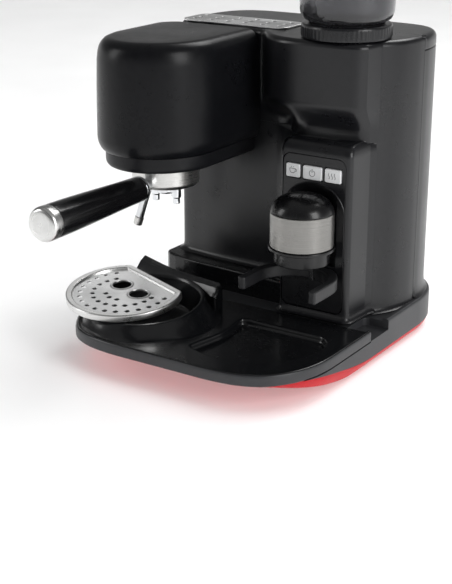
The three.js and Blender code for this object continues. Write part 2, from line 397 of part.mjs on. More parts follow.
part('upper_burr', turned([[29.4, 286], [29.4, 298], [22, 298], [14, 286]], BURR_X, BURR_Y, 22, true), STEEL);
part('lower_burr', join(turned([[4, 262], [27, 262], [28.4, 264], [28.4, 271], [20, 275], [11, 285.4], [3, 296]], BURR_X, BURR_Y, 22)), STEEL);
part('burr_carrier', cut(turned([[33.6, 258], [33.6, 304.6], [29.9, 304.6], [29.9, 261], [6, 261], [6, 258]], BURR_X, BURR_Y, 22, true), box(BURR_X - 9, BURR_X + 9, 186, BURR_Y - 25, 263, 280)), ALU);
part('grinder_motor', join(turned([[3, 256.8], [22, 256.8], [23.6, 255], [23.6, 211], [21, 209], [4, 209]], BURR_X, BURR_Y, 28), turned([[3, 250], [3, 261.6]], BURR_X, BURR_Y, 12)), M(0x55585c, 0.5, 1));
part('coffee_duct', cut(fromRings([
  rrect(-8.4, 8.4, -7.5, 7.5, 2, 2).map(p => V(BURR_X + p[0], 195.6, 271.5 + p[1])), rrect(-8.4, 8.4, -7.5, 7.5, 2, 2).map(p => V(BURR_X + p[0], 191.4, 271.5 + p[1]))]),
  plateXZ(rrect(BURR_X - 6.4, BURR_X + 6.4, 266, 277, 1, 1), 186, 210)), DARK);

// ---------------------------------------------------------------- inside the body
part('water_pump', join(prism(rrect(20, 74, 236, 270, 5, 3), 70, 108), (() => { const g = turned([[9, 0], [9, 22]], 0, 0, 16); g.rotateY(Math.PI / 2); g.translate(73, 253, 89); return g; })()), M(0x3c4046, 0.5, 0));
part('control_board', box(-18, 70, 234, 235.6, 130, 205), GREEN);

// ---------------------------------------------------------------- water tank and its lid
const TANK = [[-31, 276.4], [238, 276.4], [237.8, 288], [235, 305], [229.6, 320], [221.6, 331.6], [211, 339.6], [198, 344], [180, 346], [103.5, 346.8], [27, 346], [9, 344], [-4, 339.6], [-14.6, 331.6], [-22.6, 320], [-28, 305], [-30.8, 288]];
const tankIn = inset(TANK, 2.6);
part('water_tank', fromRings([
  up(inset(TANK, 14), 43.4), up(inset(TANK, 4.2), 43.4), up(tankIn, 46), up(tankIn, 303), up(TANK, 303), up(TANK, 43), up(inset(TANK, 3), RIM_Z + 0.4), up(inset(TANK, 14), RIM_Z + 0.4)],
  { capA: [BASE_CX, 311, 43.4], capB: [BASE_CX, 311, RIM_Z + 0.4] }), SMOKE);
part('tank_lid', fromRings([up(inset(TANK, 14), 303.4), up(TANK, 303.4), up(TANK, 315), up(inset(TANK, 3), BODY_TOP), up(inset(TANK, 14), BODY_TOP)],
  { capA: [BASE_CX, 311, 303.4], capB: [BASE_CX, 311, BODY_TOP] }), BLACK);
part('power_inlet', join(box(40, 68, 363.2, 366, 14, 34), box(44, 64, 362.9, 363.4, 16, 32)), BLACK);

export default machine;
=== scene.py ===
import bpy, math
import numpy as np
from mathutils import Vector, Matrix


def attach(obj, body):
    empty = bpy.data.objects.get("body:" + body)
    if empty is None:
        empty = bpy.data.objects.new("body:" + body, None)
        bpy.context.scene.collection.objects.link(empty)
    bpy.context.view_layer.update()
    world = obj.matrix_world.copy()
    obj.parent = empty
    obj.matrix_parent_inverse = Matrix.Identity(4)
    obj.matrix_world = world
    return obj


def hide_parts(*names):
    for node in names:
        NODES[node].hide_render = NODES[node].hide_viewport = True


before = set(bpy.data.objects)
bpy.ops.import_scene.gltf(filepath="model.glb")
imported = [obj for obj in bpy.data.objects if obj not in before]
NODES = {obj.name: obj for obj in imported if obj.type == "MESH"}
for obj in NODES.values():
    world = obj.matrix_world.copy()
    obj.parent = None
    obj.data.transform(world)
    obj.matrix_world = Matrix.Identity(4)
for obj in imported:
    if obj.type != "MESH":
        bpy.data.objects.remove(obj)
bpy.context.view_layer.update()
OX, OY = 87.65, 154.5            # plan point of the row frame's origin, mm


# ------------------------------------------------------------------ mesh helpers (millimetres in the plan frame)
def make(name, V, F, mats, body, repl=(), angle=32, wn=True, face_mats=None):
    V = np.asarray(V, float)
    me = bpy.data.meshes.new(name)
    me.from_pydata(((V - [OX, OY, 0]) / 1000.0).tolist(), [], [tuple(int(i) for i in f) for f in F])
    me.validate()
    o = bpy.data.objects.new(name, me)
    bpy.context.scene.collection.objects.link(o)
    finish_mesh(o, mats, angle, wn, face_mats)
    if body: settle(o, body, repl)
    return o


def finish_mesh(o, mats, angle=32, wn=True, face_mats=None):
    me = o.data
    me.materials.clear()
    for m in (mats if isinstance(mats, (list, tuple)) else [mats]):
        me.materials.append(m)
    if face_mats is not None:
        for p, k in zip(me.polygons, face_mats): p.material_index = int(k)
    me.shade_smooth()
    if angle is not None: me.set_sharp_from_angle(angle=math.radians(angle))
    if wn:
        w = o.modifiers.new("wn", 'WEIGHTED_NORMAL'); w.keep_sharp = True; w.weight = 60


def settle(o, body, repl=()):
    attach(o, body)
    if repl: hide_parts(*repl)


def loft(rings, closed=False, caps=True, flip=False):
    n = len(rings[0]); V = np.concatenate([np.asarray(r, float) for r in rings]); F = []
    m = len(rings)
    for i in range(m if closed else m - 1):
        a, b = i * n, ((i + 1) % m) * n
        for j in range(n):
            k = (j + 1) % n
            F.append((a + j, a + k, b + k, b + j))
    if not closed and caps:
        F.append(tuple(range(n))[::-1]); F.append(tuple(range((m - 1) * n, m * n)))
    # outward faces
    t = V[[f[0] for f in F]]; vol = 0.0
    for f in F:
        p = V[list(f)]
        for i in range(1, len(f) - 1): vol += np.dot(p[0], np.cross(p[i], p[i + 1]))
    if (vol < 0) != flip: F = [f[::-1] for f in F]
    return V, F


def circ(cx, cy, r, z, n=96):
    a = np.linspace(0, 2 * np.pi, n, endpoint=False)
    zz = z(cx + r * np.cos(a), cy + r * np.sin(a)) if callable(z) else np.full(n, float(z))
    return np.c_[cx + r * np.cos(a), cy + r * np.sin(a), zz]


def turned(profile, cx=0, cy=0, n=96, closed=False):
    return loft([circ(cx, cy, r, z, n) for r, z in profile], closed=closed)


def rot(VF, R, t=(0, 0, 0)):
    V, F = VF
    return V @ np.asarray(R, float).T + np.asarray(t, float), F


def arc(cx, cz, r, a0, a1, n=6):
    """profile points on an arc, degrees"""
    return [(cx + r * math.cos(math.radians(a)), cz + r * math.sin(math.radians(a))) for a in np.linspace(a0, a1, n + 1)]


def smoothpoly(P, n, closed=True):
    """even resampling of a Catmull-Rom curve through P"""
    P = np.asarray(P, float); m = len(P); out = []
    seg = m if closed else m - 1
    for i in range(seg):
        p0, p1, p2, p3 = (P[(i + k - 1) % m] if closed else P[min(max(i + k - 1, 0), m - 1)] for k in range(4))
        if not closed and i == 0: p0 = p1 - (p2 - p1)
        if not closed and i == seg - 1: p3 = p2 + (p2 - p1)
        d01, d12, d23 = (max(np.linalg.norm(b - a) ** 0.5, 1e-6) for a, b in ((p0, p1), (p1, p2), (p2, p3)))
        for t in np.linspace(0, 1, 12, endpoint=False):
            t0, t1 = 0.0, d01; t2 = t1 + d12; t3 = t2 + d23; u = t1 + t * (t2 - t1)
            A1 = (t1 - u) / (t1 - t0) * p0 + (u - t0) / (t1 - t0) * p1
            A2 = (t2 - u) / (t2 - t1) * p1 + (u - t1) / (t2 - t1) * p2
            A3 = (t3 - u) / (t3 - t2) * p2 + (u - t2) / (t3 - t2) * p3
            B1 = (t2 - u) / (t2 - t0) * A1 + (u - t0) / (t2 - t0) * A2
            B2 = (t3 - u) / (t3 - t1) * A2 + (u - t1) / (t3 - t1) * A3
            out.append((t2 - u) / (t2 - t1) * B1 + (u - t1) / (t2 - t1) * B2)
    if not closed: out.append(P[-1])
    return resample(out, n, closed)


def resample(P, n, closed=True):
    P = np.asarray(P, float)
    Q = np.vstack([P, P[:1]]) if closed else P
    s = np.r_[0, np.cumsum(np.linalg.norm(np.diff(Q, axis=0), axis=1))]
    t = np.linspace(0, s[-1], n + 1)[:-1] if closed else np.linspace(0, s[-1], n)
    return np.c_[[np.interp(t, s, Q[:, k]) for k in range(Q.shape[1])]].T


def roundpoly(P, r, n=8, step=None):
    """polygon with rounded corners; r is one radius or one per corner"""
    P = np.asarray(P, float); m = len(P); out = []
    rr = r if isinstance(r, (list, tuple)) else [r] * m
    for i in range(m):
        a, b, c = P[i - 1], P[i], P[(i + 1) % m]
        if rr[i] <= 0: out.append(b); continue
        u, v = (a - b) / np.linalg.norm(a - b), (c - b) / np.linalg.norm(c - b)
        ang = math.acos(max(-1, min(1, float(u @ v))))
        d = min(rr[i] / math.tan(ang / 2), 0.49 * np.linalg.norm(a - b), 0.49 * np.linalg.norm(c - b))
        R = d * math.tan(ang / 2)
        bis = (u + v) / np.linalg.norm(u + v)
        cen = b + bis * (R / math.sin(ang / 2))
        p, q = b + u * d - cen, b + v * d - cen
        a0 = math.atan2(p[1], p[0]); a1 = math.atan2(q[1], q[0]); da = (a1 - a0 + math.pi) % (2 * math.pi) - math.pi
        for t in np.linspace(0, 1, n + 1): out.append(cen + R * np.array([math.cos(a0 + da * t), math.sin(a0 + da * t)]))
    return np.array(out)


def dense(P, step=3.0):
    """adds points along long edges"""
    P = np.asarray(P, float); out = []
    for i in range(len(P)):
        a, b = P[i], P[(i + 1) % len(P)]
        k = max(1, int(np.linalg.norm(b - a) // step))
        for t in range(k): out.append(a + (b - a) * t / k)
    return np.array(out)


def normals2(P):
    P = np.asarray(P, float)
    T = np.roll(P, -1, 0) - np.roll(P, 1, 0)
    T /= np.linalg.norm(T, axis=1)[:, None]
    N = np.c_[-T[:, 1], T[:, 0]]              # inwards for counter-clockwise outlines
    area = 0.5 * np.sum(P[:, 0] * np.roll(P[:, 1], -1) - np.roll(P[:, 0], -1) * P[:, 1])
    return N if area > 0 else -N


def inset(P, d, N=None):
    N = normals2(P) if N is None else N
    d = np.asarray(d(P[:, 1]) if callable(d) else d, float)
    return P + N * (d[:, None] if d.ndim else d)


def ring(P, d, z, N=None):
    Q = inset(P, d, N)
    zz = z(P[:, 0], P[:, 1]) if callable(z) else np.full(len(Q), float(z))
    return np.c_[Q, zz]


def tmp(VF, name="tmp"):
    V, F = VF
    me = bpy.data.meshes.new(name); me.from_pydata(np.asarray(V).tolist(), [], [tuple(int(i) for i in f) for f in F]); me.validate()
    o = bpy.data.objects.new(name, me); bpy.context.scene.collection.objects.link(o)
    return o


def boolean(a, b, op):
    """a and b are (V, F) or temporary objects in mm; returns a temporary object"""
    if isinstance(a, tuple): a = tmp(a)
    if isinstance(b, tuple): b = tmp(b)
    m = a.modifiers.new("b", 'BOOLEAN'); m.operation = op; m.solver = 'EXACT'; m.object = b
    bpy.context.view_layer.update()
    dg = bpy.context.evaluated_depsgraph_get()
    me = bpy.data.meshes.new_from_object(a.evaluated_get(dg))
    a.modifiers.clear(); old = a.data; a.data = me; bpy.data.meshes.remove(old)
    ob = b.data; bpy.data.objects.remove(b); bpy.data.meshes.remove(ob)
    return a


def union(a, b): return boolean(a, b, 'UNION')
def minus(a, b): return boolean(a, b, 'DIFFERENCE')


def adopt(o, name, mats, body, repl=(), angle=32, wn=True, weld=True):
    """a temporary object in mm becomes a finished piece"""
    me = o.data
    import bmesh
    bm = bmesh.new(); bm.from_mesh(me)
    bmesh.ops.remove_doubles(bm, verts=bm.verts, dist=1e-4)
    bmesh.ops.dissolve_degenerate(bm, edges=bm.edges, dist=1e-4)
    for v in bm.verts: v.co = Vector(((v.co.x - OX) / 1000, (v.co.y - OY) / 1000, v.co.z / 1000))
    bm.to_mesh(me); bm.free(); me.update()
    o.name = name; me.name = name
    finish_mesh(o, mats, angle, wn)
    if body: settle(o, body, repl)
    return o


def plate(outline, holes, thick, bevel, res=3):
    """flat plate drawn in 2D with holes and rounded edges; middle plane at z = 0. Returns (V, F) in mm."""
    cu = bpy.data.curves.new("pl", 'CURVE'); cu.dimensions = '2D'; cu.fill_mode = 'BOTH'
    cu.extrude = (thick / 2 - bevel); cu.bevel_depth = bevel; cu.bevel_resolution = res; cu.offset = -bevel
    for P in [outline] + list(holes):
        s = cu.splines.new('POLY'); s.points.add(len(P) - 1); s.use_cyclic_u = True
        for p, q in zip(s.points, P): p.co = (q[0], q[1], 0, 1)
    ob = bpy.data.objects.new("pl", cu); bpy.context.scene.collection.objects.link(ob)
    bpy.context.view_layer.update()
    dg = bpy.context.evaluated_depsgraph_get()
    me = bpy.data.meshes.new_from_object(ob.evaluated_get(dg))
    import bmesh
    bm = bmesh.new(); bm.from_mesh(me); bmesh.ops.remove_doubles(bm, verts=bm.verts, dist=1e-4)
    bmesh.ops.recalc_face_normals(bm, faces=bm.faces)
    bm.verts.ensure_lookup_table()
    V = np.array([v.co[:] for v in bm.verts]); F = [tuple(v.index for v in f.verts) for f in bm.faces]
    bm.free(); bpy.data.meshes.remove(me); bpy.data.objects.remove(ob); bpy.data.curves.remove(cu)
    return V, F


def xz(VF, y):
    """a plate drawn in (x, z) stands upright with its middle plane at y; drawn y becomes z"""
    V, F = VF
    W = np.c_[V[:, 0], y - V[:, 2], V[:, 1]]
    return W, F


def tube(P, r, n=16, caps=True):
    """round bar along the points P; r is one radius or one per point"""
    P = np.asarray(P, float); m = len(P)
    T = np.gradient(P, axis=0); T /= np.linalg.norm(T, axis=1)[:, None]
    up = np.array([0, 0, 1.0]) if abs(T[0] @ [0, 0, 1]) < 0.9 else np.array([1.0, 0, 0])
    rr = np.broadcast_to(r, (m,)); rings = []; A = None
    for i in range(m):
        A = np.cross(up, T[i]) if A is None else A - (A @ T[i]) * T[i]
        A = A / np.linalg.norm(A); B = np.cross(T[i], A)
        a = np.linspace(0, 2 * np.pi, n, endpoint=False)
        rings.append(P[i] + rr[i] * (np.cos(a)[:, None] * A + np.sin(a)[:, None] * B))
    return loft(rings, caps=caps)


def merge(*VFs):
    V, F, k = [], [], 0
    for v, f in VFs:
        V.append(v); F += [tuple(i + k for i in g) for g in f]; k += len(v)
    return np.concatenate(V), F


def sm(a, b, t):
    s = np.clip((np.asarray(t, float) - a) / (b - a), 0, 1)
    return s * s * (3 - 2 * s)


def mix(a, b, t): return a + (b - a) * t


def rrect(x0, x1, y0, y1, r, n=8):
    return roundpoly([(x0, y0), (x1, y0), (x1, y1), (x0, y1)], r, n)


# ------------------------------------------------------------------ materials
class Mat:
    def __init__(self, name):
        self.m = bpy.data.materials.new(name); self.m.use_nodes = True
        self.t = self.m.node_tree; self.b = self.t.nodes["Principled BSDF"]; self.x = -300
        self.co = self.t.nodes.new("ShaderNodeTexCoord")

    def node(self, kind, **kw):
        n = self.t.nodes.new(kind)
        for k, v in kw.items():
            if k in n.inputs: n.inputs[k].default_value = v
            else: setattr(n, k, v)
        return n

    def mapped(self, scale):
        n = self.node("ShaderNodeMapping"); n.inputs["Scale"].default_value = scale
        self.t.links.new(self.co.outputs["Object"], n.inputs["Vector"]); return n.outputs[0]

    def noise(self, scale, detail=3, rough=0.55, vec=None, dist=0.0):
        n = self.node("ShaderNodeTexNoise"); n.inputs["Scale"].default_value = scale
        n.inputs["Detail"].default_value = detail; n.inputs["Roughness"].default_value = rough; n.inputs["Distortion"].default_value = dist
        self.t.links.new(vec if vec is not None else self.co.outputs["Object"], n.inputs["Vector"]); return n.outputs["Fac"]

    def ramp(self, fac, stops):
        r = self.node("ShaderNodeValToRGB"); e = r.color_ramp.elements
        while len(e) < len(stops): e.new(0.5)
        for el, (p, c) in zip(e, stops):
            el.position = p; el.color = (c, c, c, 1) if not hasattr(c, '__len__') else (*c, 1) if len(c) == 3 else c
        self.t.links.new(fac, r.inputs["Fac"]); return r.outputs["Color"]

    def rng(self, fac, a, b, lo=0.3, hi=0.7):
        r = self.node("ShaderNodeMapRange"); r.inputs["From Min"].default_value = lo; r.inputs["From Max"].default_value = hi
        r.inputs["To Min"].default_value = a; r.inputs["To Max"].default_value = b
        self.t.links.new(fac, r.inputs["Value"]); return r.outputs["Result"]

    def mixc(self, fac, a, b, mode='MIX'):
        n = self.node("ShaderNodeMix"); n.data_type = 'RGBA'; n.blend_type = mode
        for s, v in ((n.inputs[0], fac), (n.inputs[6], a), (n.inputs[7], b)):
            if hasattr(v, 'is_linked') or isinstance(v, bpy.types.NodeSocket): self.t.links.new(v, s)
            else: s.default_value = v if not hasattr(v, '__len__') else (*v, 1) if len(v) == 3 else v
        return n.outputs[2]

    def bump(self, h, strength, dist, prev=None):
        n = self.node("ShaderNodeBump"); n.inputs["Strength"].default_value = strength; n.inputs["Distance"].default_value = dist
        self.t.links.new(h, n.inputs["Height"])
        if prev is not None: self.t.links.new(prev, n.inputs["Normal"])
        return n.outputs[0]

    def set(self, **kw):
        for k, v in kw.items():
            s = self.b.inputs[k.replace('_', ' ')]
            if isinstance(v, bpy.types.NodeSocket): self.t.links.new(v, s)
            else: s.default_value = v if not hasattr(v, '__len__') else (*v, 1) if len(v) == 3 else v
        return self


def plastic(name, c0, c1, r0, r1, grain=1600, bump=0.12, wave=18, coat=0.0, coat_r=0.1, spec=0.5, bdist=0.00008):
    """moulded or lacquered plastic: two close tones, drifting gloss, fine skin texture, faint handling marks"""
    m = Mat(name)
    big, mid, fine = m.noise(wave, 3), m.noise(140, 4, 0.6), m.noise(grain, 2, 0.5)
    col = m.mixc(m.rng(mid, 0, 1), c0, c1)
    rough = m.node("ShaderNodeMath", operation='ADD')
    m.t.links.new(m.rng(big, r0, r1), rough.inputs[0]); m.t.links.new(m.rng(mid, -0.02, 0.02), rough.inputs[1])
    n1 = m.bump(fine, bump, bdist)
    m.set(Base_Color=col, Roughness=rough.outputs[0], Normal=n1, Coat_Weight=coat, Coat_Roughness=coat_r, Specular_IOR_Level=spec)
    return m.m


def brushed(name, c0, c1, r0, r1, scale, aniso=0.5, bump=0.25, tangent=None, rot90=0.0, bdist=0.00003):
    """brushed metal: long fine scratches along one direction"""
    m = Mat(name)
    v = m.mapped(scale)
    s1, s2 = m.noise(1.0, 3, 0.7, v), m.noise(2.7, 2, 0.6, v)
    blot = m.noise(45, 3)
    f = m.node("ShaderNodeMath", operation='ADD'); m.t.links.new(s1, f.inputs[0]); m.t.links.new(s2, f.inputs[1])
    h = m.node("ShaderNodeMath", operation='MULTIPLY'); m.t.links.new(f.outputs[0], h.inputs[0]); h.inputs[1].default_value = 0.5
    col = m.mixc(m.rng(h.outputs[0], 0, 1, 0.35, 0.65), c0, c1)
    rr = m.node("ShaderNodeMath", operation='ADD')
    m.t.links.new(m.rng(h.outputs[0], r0, r1, 0.35, 0.65), rr.inputs[0]); m.t.links.new(m.rng(blot, -0.03, 0.03), rr.inputs[1])
    m.set(Base_Color=col, Metallic=1.0, Roughness=rr.outputs[0], Normal=m.bump(h.outputs[0], bump, bdist), Anisotropic=aniso, Anisotropic_Rotation=rot90)
    if tangent:
        t = m.node("ShaderNodeTangent"); t.direction_type = 'RADIAL'; t.axis = tangent
        m.t.links.new(t.outputs[0], m.b.inputs["Tangent"])
    return m.m


def metal(name, c0, c1, r0, r1, bump=0.03, wave=60, grain=900):
    m = Mat(name)
    a, b = m.noise(wave, 3), m.noise(grain, 3)
    m.set(Base_Color=m.mixc(m.rng(a, 0, 1), c0, c1), Metallic=1.0, Roughness=m.rng(a, r0, r1), Normal=m.bump(b, bump, 0.00002))
    return m.m


SATIN = plastic("satin_black", (0.0060, 0.0062, 0.0076), (0.0085, 0.0087, 0.0104), 0.27, 0.33, grain=2600, bump=0.05, coat=0.10, coat_r=0.2, spec=0.38)
WALLM = plastic("wall_black", (0.0085, 0.0087, 0.0100), (0.0115, 0.0117, 0.0132), 0.31, 0.37, grain=2400, bump=0.06, coat=0.10, coat_r=0.28, spec=0.42)
RIM = plastic("rim_grey", (0.034, 0.035, 0.038), (0.042, 0.043, 0.047), 0.38, 0.46, grain=2200, bump=0.16, coat=0.03, coat_r=0.3, spec=0.38)
DECK = plastic("deck_black", (0.0050, 0.0053, 0.0064), (0.0078, 0.0082, 0.0094), 0.20, 0.28, grain=1500, bump=0.10, coat=0.30, coat_r=0.12, spec=0.4)
GLOSS = plastic("gloss_black", (0.0032, 0.0032, 0.0038), (0.0050, 0.0050, 0.0056), 0.25, 0.31, grain=700, bump=0.02, coat=0.12, coat_r=0.12, spec=0.38)
HEADM = plastic("head_black", (0.0045, 0.0047, 0.0058), (0.0065, 0.0067, 0.0080), 0.27, 0.33, grain=2600, bump=0.05, coat=0.03, coat_r=0.2, spec=0.17)
COLLARM = plastic("collar_black", (0.0070, 0.0072, 0.0085), (0.0100, 0.0102, 0.0120), 0.33, 0.40, grain=2400, bump=0.06, coat=0.02, coat_r=0.2, spec=0.2)
FORKM = plastic("fork_black", (0.0120, 0.0122, 0.0140), (0.0160, 0.0162, 0.0180), 0.34, 0.42, grain=2300, bump=0.10, coat=0.03, coat_r=0.3, spec=0.34)
SHELFM = plastic("shelf_black", (0.0050, 0.0052, 0.0062), (0.0075, 0.0078, 0.0090), 0.24, 0.31, grain=2100, bump=0.08, coat=0.08, coat_r=0.2, spec=0.26)
GRIP = plastic("handle_black", (0.004, 0.004, 0.0046), (0.006, 0.006, 0.0066), 0.2, 0.27, grain=900, bump=0.03, coat=0.35, coat_r=0.12, spec=0.4)
RED = plastic("red_shell", (0.50, 0.004, 0.010), (0.57, 0.006, 0.014), 0.32, 0.40, grain=1500, bump=0.05, coat=0.05, coat_r=0.14, spec=0.2)
RUBBER = plastic("rubber", (0.012, 0.012, 0.012), (0.02, 0.02, 0.02), 0.75, 0.9, grain=1800, bump=0.4)
WHITE = plastic("button_silver", (0.80, 0.81, 0.82), (0.86, 0.865, 0.87), 0.32, 0.38, grain=2600, bump=0.05, coat=0.25, coat_r=0.15)
ICON = plastic("icon_grey", (0.16, 0.165, 0.17), (0.20, 0.205, 0.21), 0.5, 0.6, grain=2600, bump=0.05)
STEEL = brushed("brushed_steel", (0.74, 0.745, 0.745), (0.86, 0.86, 0.855), 0.27, 0.38, (55, 1400, 1400), 0.45)
STEEL_Z = brushed("brushed_steel_round", (0.60, 0.595, 0.58), (0.72, 0.715, 0.70), 0.24, 0.33, (9, 9, 2400), 0.55, tangent='Z')
# chute band: brushed steel whose base colour is painted much darker than the other steel, painted shade for the dark
# niche round the chute
BAND_PAINTED_SHADE = brushed("brushed_band_painted_shade", (0.225, 0.22, 0.21), (0.285, 0.28, 0.268), 0.26, 0.36, (9, 9, 2400), 0.55, tangent='Z')
STEEL_Y = brushed("brushed_steel_axis", (0.62, 0.62, 0.61), (0.74, 0.74, 0.73), 0.22, 0.30, (9, 2200, 9), 0.5, tangent='Y')
RIMSTEEL = brushed("grid_rim_steel", (0.68, 0.68, 0.67), (0.78, 0.78, 0.77), 0.26, 0.34, (220, 220, 1400), 0.3, bump=0.12)
CHROME = metal("chrome", (0.72, 0.73, 0.75), (0.78, 0.79, 0.80), 0.07, 0.13)
ALU = metal("cast_aluminium", (0.46, 0.47, 0.48), (0.56, 0.57, 0.58), 0.38, 0.5, bump=0.3)
SEAL = plastic("silicone_red", (0.30, 0.035, 0.02), (0.36, 0.045, 0.028), 0.55, 0.65, grain=1500, bump=0.15)
PCB = plastic("circuit_green", (0.012, 0.11, 0.045), (0.02, 0.15, 0.06), 0.4, 0.5, grain=1500, bump=0.2)
MOTOR = metal("motor_steel", (0.10, 0.10, 0.11), (0.14, 0.14, 0.15), 0.4, 0.5, bump=0.1)


def smoke_material():
    m = Mat("smoked_plastic")
    big, fine = m.noise(22, 3), m.noise(1400, 2)
    m.set(Base_Color=m.mixc(m.rng(big, 0, 1), (0.20, 0.20, 0.215), (0.26, 0.26, 0.275)), Roughness=m.rng(big, 0.06, 0.12), Normal=m.bump(fine, 0.02, 0.00003),
          Transmission_Weight=0.92, IOR=1.45, Coat_Weight=0.2, Coat_Roughness=0.05)
    return m.m


SMOKE = smoke_material()

# ------------------------------------------------------------------ base outline
BCX = 103.5
HALF = [(0, 0), (30, 0), (56, .2), (75.5, 2), (87.5, 4.6), (97.5, 8.2), (107.5, 13.4), (115.5, 20), (122.6, 28.5), (129, 38), (134, 49), (138, 62), (140.6, 78), (141.5, 98), (141.5, 150), (141.5, 207),
        (141.5, 260), (141.3, 285), (138.8, 305), (133.8, 320), (126, 333.5), (115.5, 345), (105.5, 352), (90, 358), (70, 361.3), (35, 362.4), (0, 362.6)]
OUT = smoothpoly([(BCX + x, y) for x, y in HALF] + [(BCX - x, y) for x, y in HALF[1:-1][::-1]], 300)
OUT[:, 0] = np.clip(OUT[:, 0], -38, 245); ON = normals2(OUT)
OYY = OUT[:, 1]
redTop = mix(28, 9.6, sm(30, 175, OYY))
redBot = np.maximum(mix(26, 3.3, sm(-5, 150, OYY) ** .8), 4.4)
k0 = sm(0, 160, OYY)


def oring(d, z): return np.c_[inset(OUT, d, ON), np.broadcast_to(z, len(OUT))]


din, dout = mix(10, 3, k0), mix(5, 1.2, k0)
flat = lambda z, dy=0: np.c_[BCX + (OUT[:, 0] - BCX) * .72, 70 + dy + OUT[:, 1] * .695, np.full(len(OUT), float(z))]
R0, R1 = flat(3.0), oring(din, redBot)
rings = [R0, R0 * .5 + R1 * .5, R0 * .06 + R1 * .94, oring(din, redBot + 0.35)]
for t in np.linspace(.1, .94, 9): rings.append(oring(mix(din, dout, 1 - (1 - t) ** 1.9), mix(redBot + 0.35, redTop, t)))
rings += [oring(dout + 0.1, redTop - 0.3), oring(dout + 0.5, redTop), oring(dout + 3, redTop), oring(12.6, redTop - 0.1), oring(16, np.minimum(redTop - .6, mix(23.4, 8.2, sm(20, 120, OYY)))), flat(6.4, 2)]
V, F = loft(rings)
make("red_base_shell", V, F, RED, "root", ["lower_base_pan"])
for n, x, y in (("front_left", 30, 92), ("front_right", 177, 92), ("rear_left", 16, 300), ("rear_right", 191, 300)):
    V, F = turned([(1, 0.4), (6, 0.4), (6.4, 0.02), (9.2, 0.02), (9.9, 0.3), (10.4, 1), (10.5, 1.8), (10.5, 2.95), (1, 2.95)], x, y, 48)
    make("foot_pad_" + n, V, F, RUBBER, "root", ["foot_" + n])

# ------------------------------------------------------------------ rear base frame: rounded rim, channel round the body, notch
rim = [oring(40, 24), oring(15, 24), oring(12, redTop + 0.5), oring(0.9, redTop + 0.5), oring(0.25, redTop + 0.8), oring(0, redTop + 1.5)]
for t in np.linspace(.15, .95, 5): rim.append(oring(0, mix(redTop + 1.5, 37, t)))
rim += [oring(a, b) for a, b in [(0.0, 37.2), (.2, 38.2), (.7, 39.1), (1.5, 39.75), (2.6, 40.0), (5.2, 40.0), (6.0, 39.8), (6.5, 39.2), (6.7, 38.2), (7.1, 37.4), (8.2, 37.1), (14, 37.1), (40, 37.1)]]
frameO = tmp(loft(rim))
box = lambda x0, x1, y0, y1, z0, z1: loft([[(x0, y0, z), (x1, y0, z), (x1, y1, z), (x0, y1, z)] for z in (z0, z1)])
frameO = minus(frameO, box(-60, 260, -20, 168.9, 27.6, 90))
notch = roundpoly([(217.5, 150), (270, 150), (270, 207), (217.5, 207)], [0, 0, 0, 7], 6)
frameO = minus(frameO, loft([np.c_[notch, np.full(len(notch), z)] for z in (29, 90)]))
adopt(frameO, "rear_base_frame", RIM, "root", ["base_frame"], angle=35)
# front pan under the drip tray is part of frameO; raised shelf in front of the splash wall
SH = roundpoly([(-37.6, 215), (-31, 209), (-19, 204), (-5, 200.4), (12, 198.6), (45, 197), (71, 195), (100, 193.4), (133.6, 192.4), (133.6, 222), (100, 222), (54, 223), (29, 225), (3, 228), (-14.4, 232), (-22.6, 237), (-27.8, 244), (-31, 256), (-37.6, 256)],
               [5, 8, 20, 20, 30, 60, 60, 60, 0, 0, 20, 30, 20, 20, 8, 8, 8, 0, 4], 5)
SH = dense(SH, 4); SN = normals2(SH)
prof = [(0, 36.5), (0, 58.6)] + [(2.6 * (1 - math.cos(math.radians(a))), 59.4 + 2.6 * math.sin(math.radians(a))) for a in (0, 20, 40, 60, 80, 90)] + [(6, 62.0)]
V, F = loft([np.c_[inset(SH, d, SN), np.full(len(SH), z)] for d, z in prof])
make("raised_shelf", V, F, SHELFM, "root", ["base_frame"])

# ------------------------------------------------------------------ drip tray
tr = [oring(40, 28.1), oring(2.4, 28.1), oring(.7, 28.3), oring(.15, 29.0), oring(0, 30.2), oring(0, 36.6), oring(.25, 37.9), oring(.8, 39.0), oring(1.6, 39.7), oring(2.4, 40.0), oring(3.2, 39.9), oring(3.9, 39.5), oring(4.4, 38.9), oring(4.8, 38.3), oring(5.5, 37.9), oring(6.6, 37.8), oring(40, 37.8)]
trayO = tmp(loft(tr))
gp = lambda x, y: 66 - 0.028 * (x - 10) + 0.107 * (y - 100)
brim = lambda x, y: gp(x, y) - 8.4
B0 = 37.4
bo = [circ(37.4, 79.8, 75.5, B0 - 2), circ(37.4, 79.8, 75.5, B0)]
for r, c, t in [(74.3, (37, 80), .006), (72.4, (36.4, 80.3), .022), (70.4, (35.4, 80.9), .055), (68.6, (34.4, 81.4), .12), (66.9, (33, 82.2), .26), (65.4, (31.2, 83.2), .42), (63.9, (29.2, 84.3), .6), (62.7, (27.4, 85.4), .78), (61.8, (26, 86.4), .91), (61.35, (25.3, 86.9), .965), (60.9, (25, 87), .99), (60.2, (25, 87), 1.0), (59.4, (25, 87), 1.0)]:
    bo.append(circ(c[0], c[1], r, (lambda t: (lambda x, y: mix(B0, brim(x, y), t)))(t), 128) if True else None)
bo[0], bo[1] = circ(37.4, 79.8, 75.5, B0 - 2, 128), circ(37.4, 79.8, 75.5, B0, 128)
bo.append(circ(25, 87, 20, lambda x, y: brim(x, y), 128))
bowl = tmp(loft(bo))
LED = [(-31, 165.5, 70.5, 163.3, 151, 61.5), (-26, 163.8, 70.3, 161.4, 149.5, 61), (0, 159.4, 66.6, 157, 147, 59), (30, 156, 64.2, 153.4, 144, 57), (60, 152.4, 64, 149.6, 141, 56), (78, 148.4, 64.6, 146, 137.5, 56)]
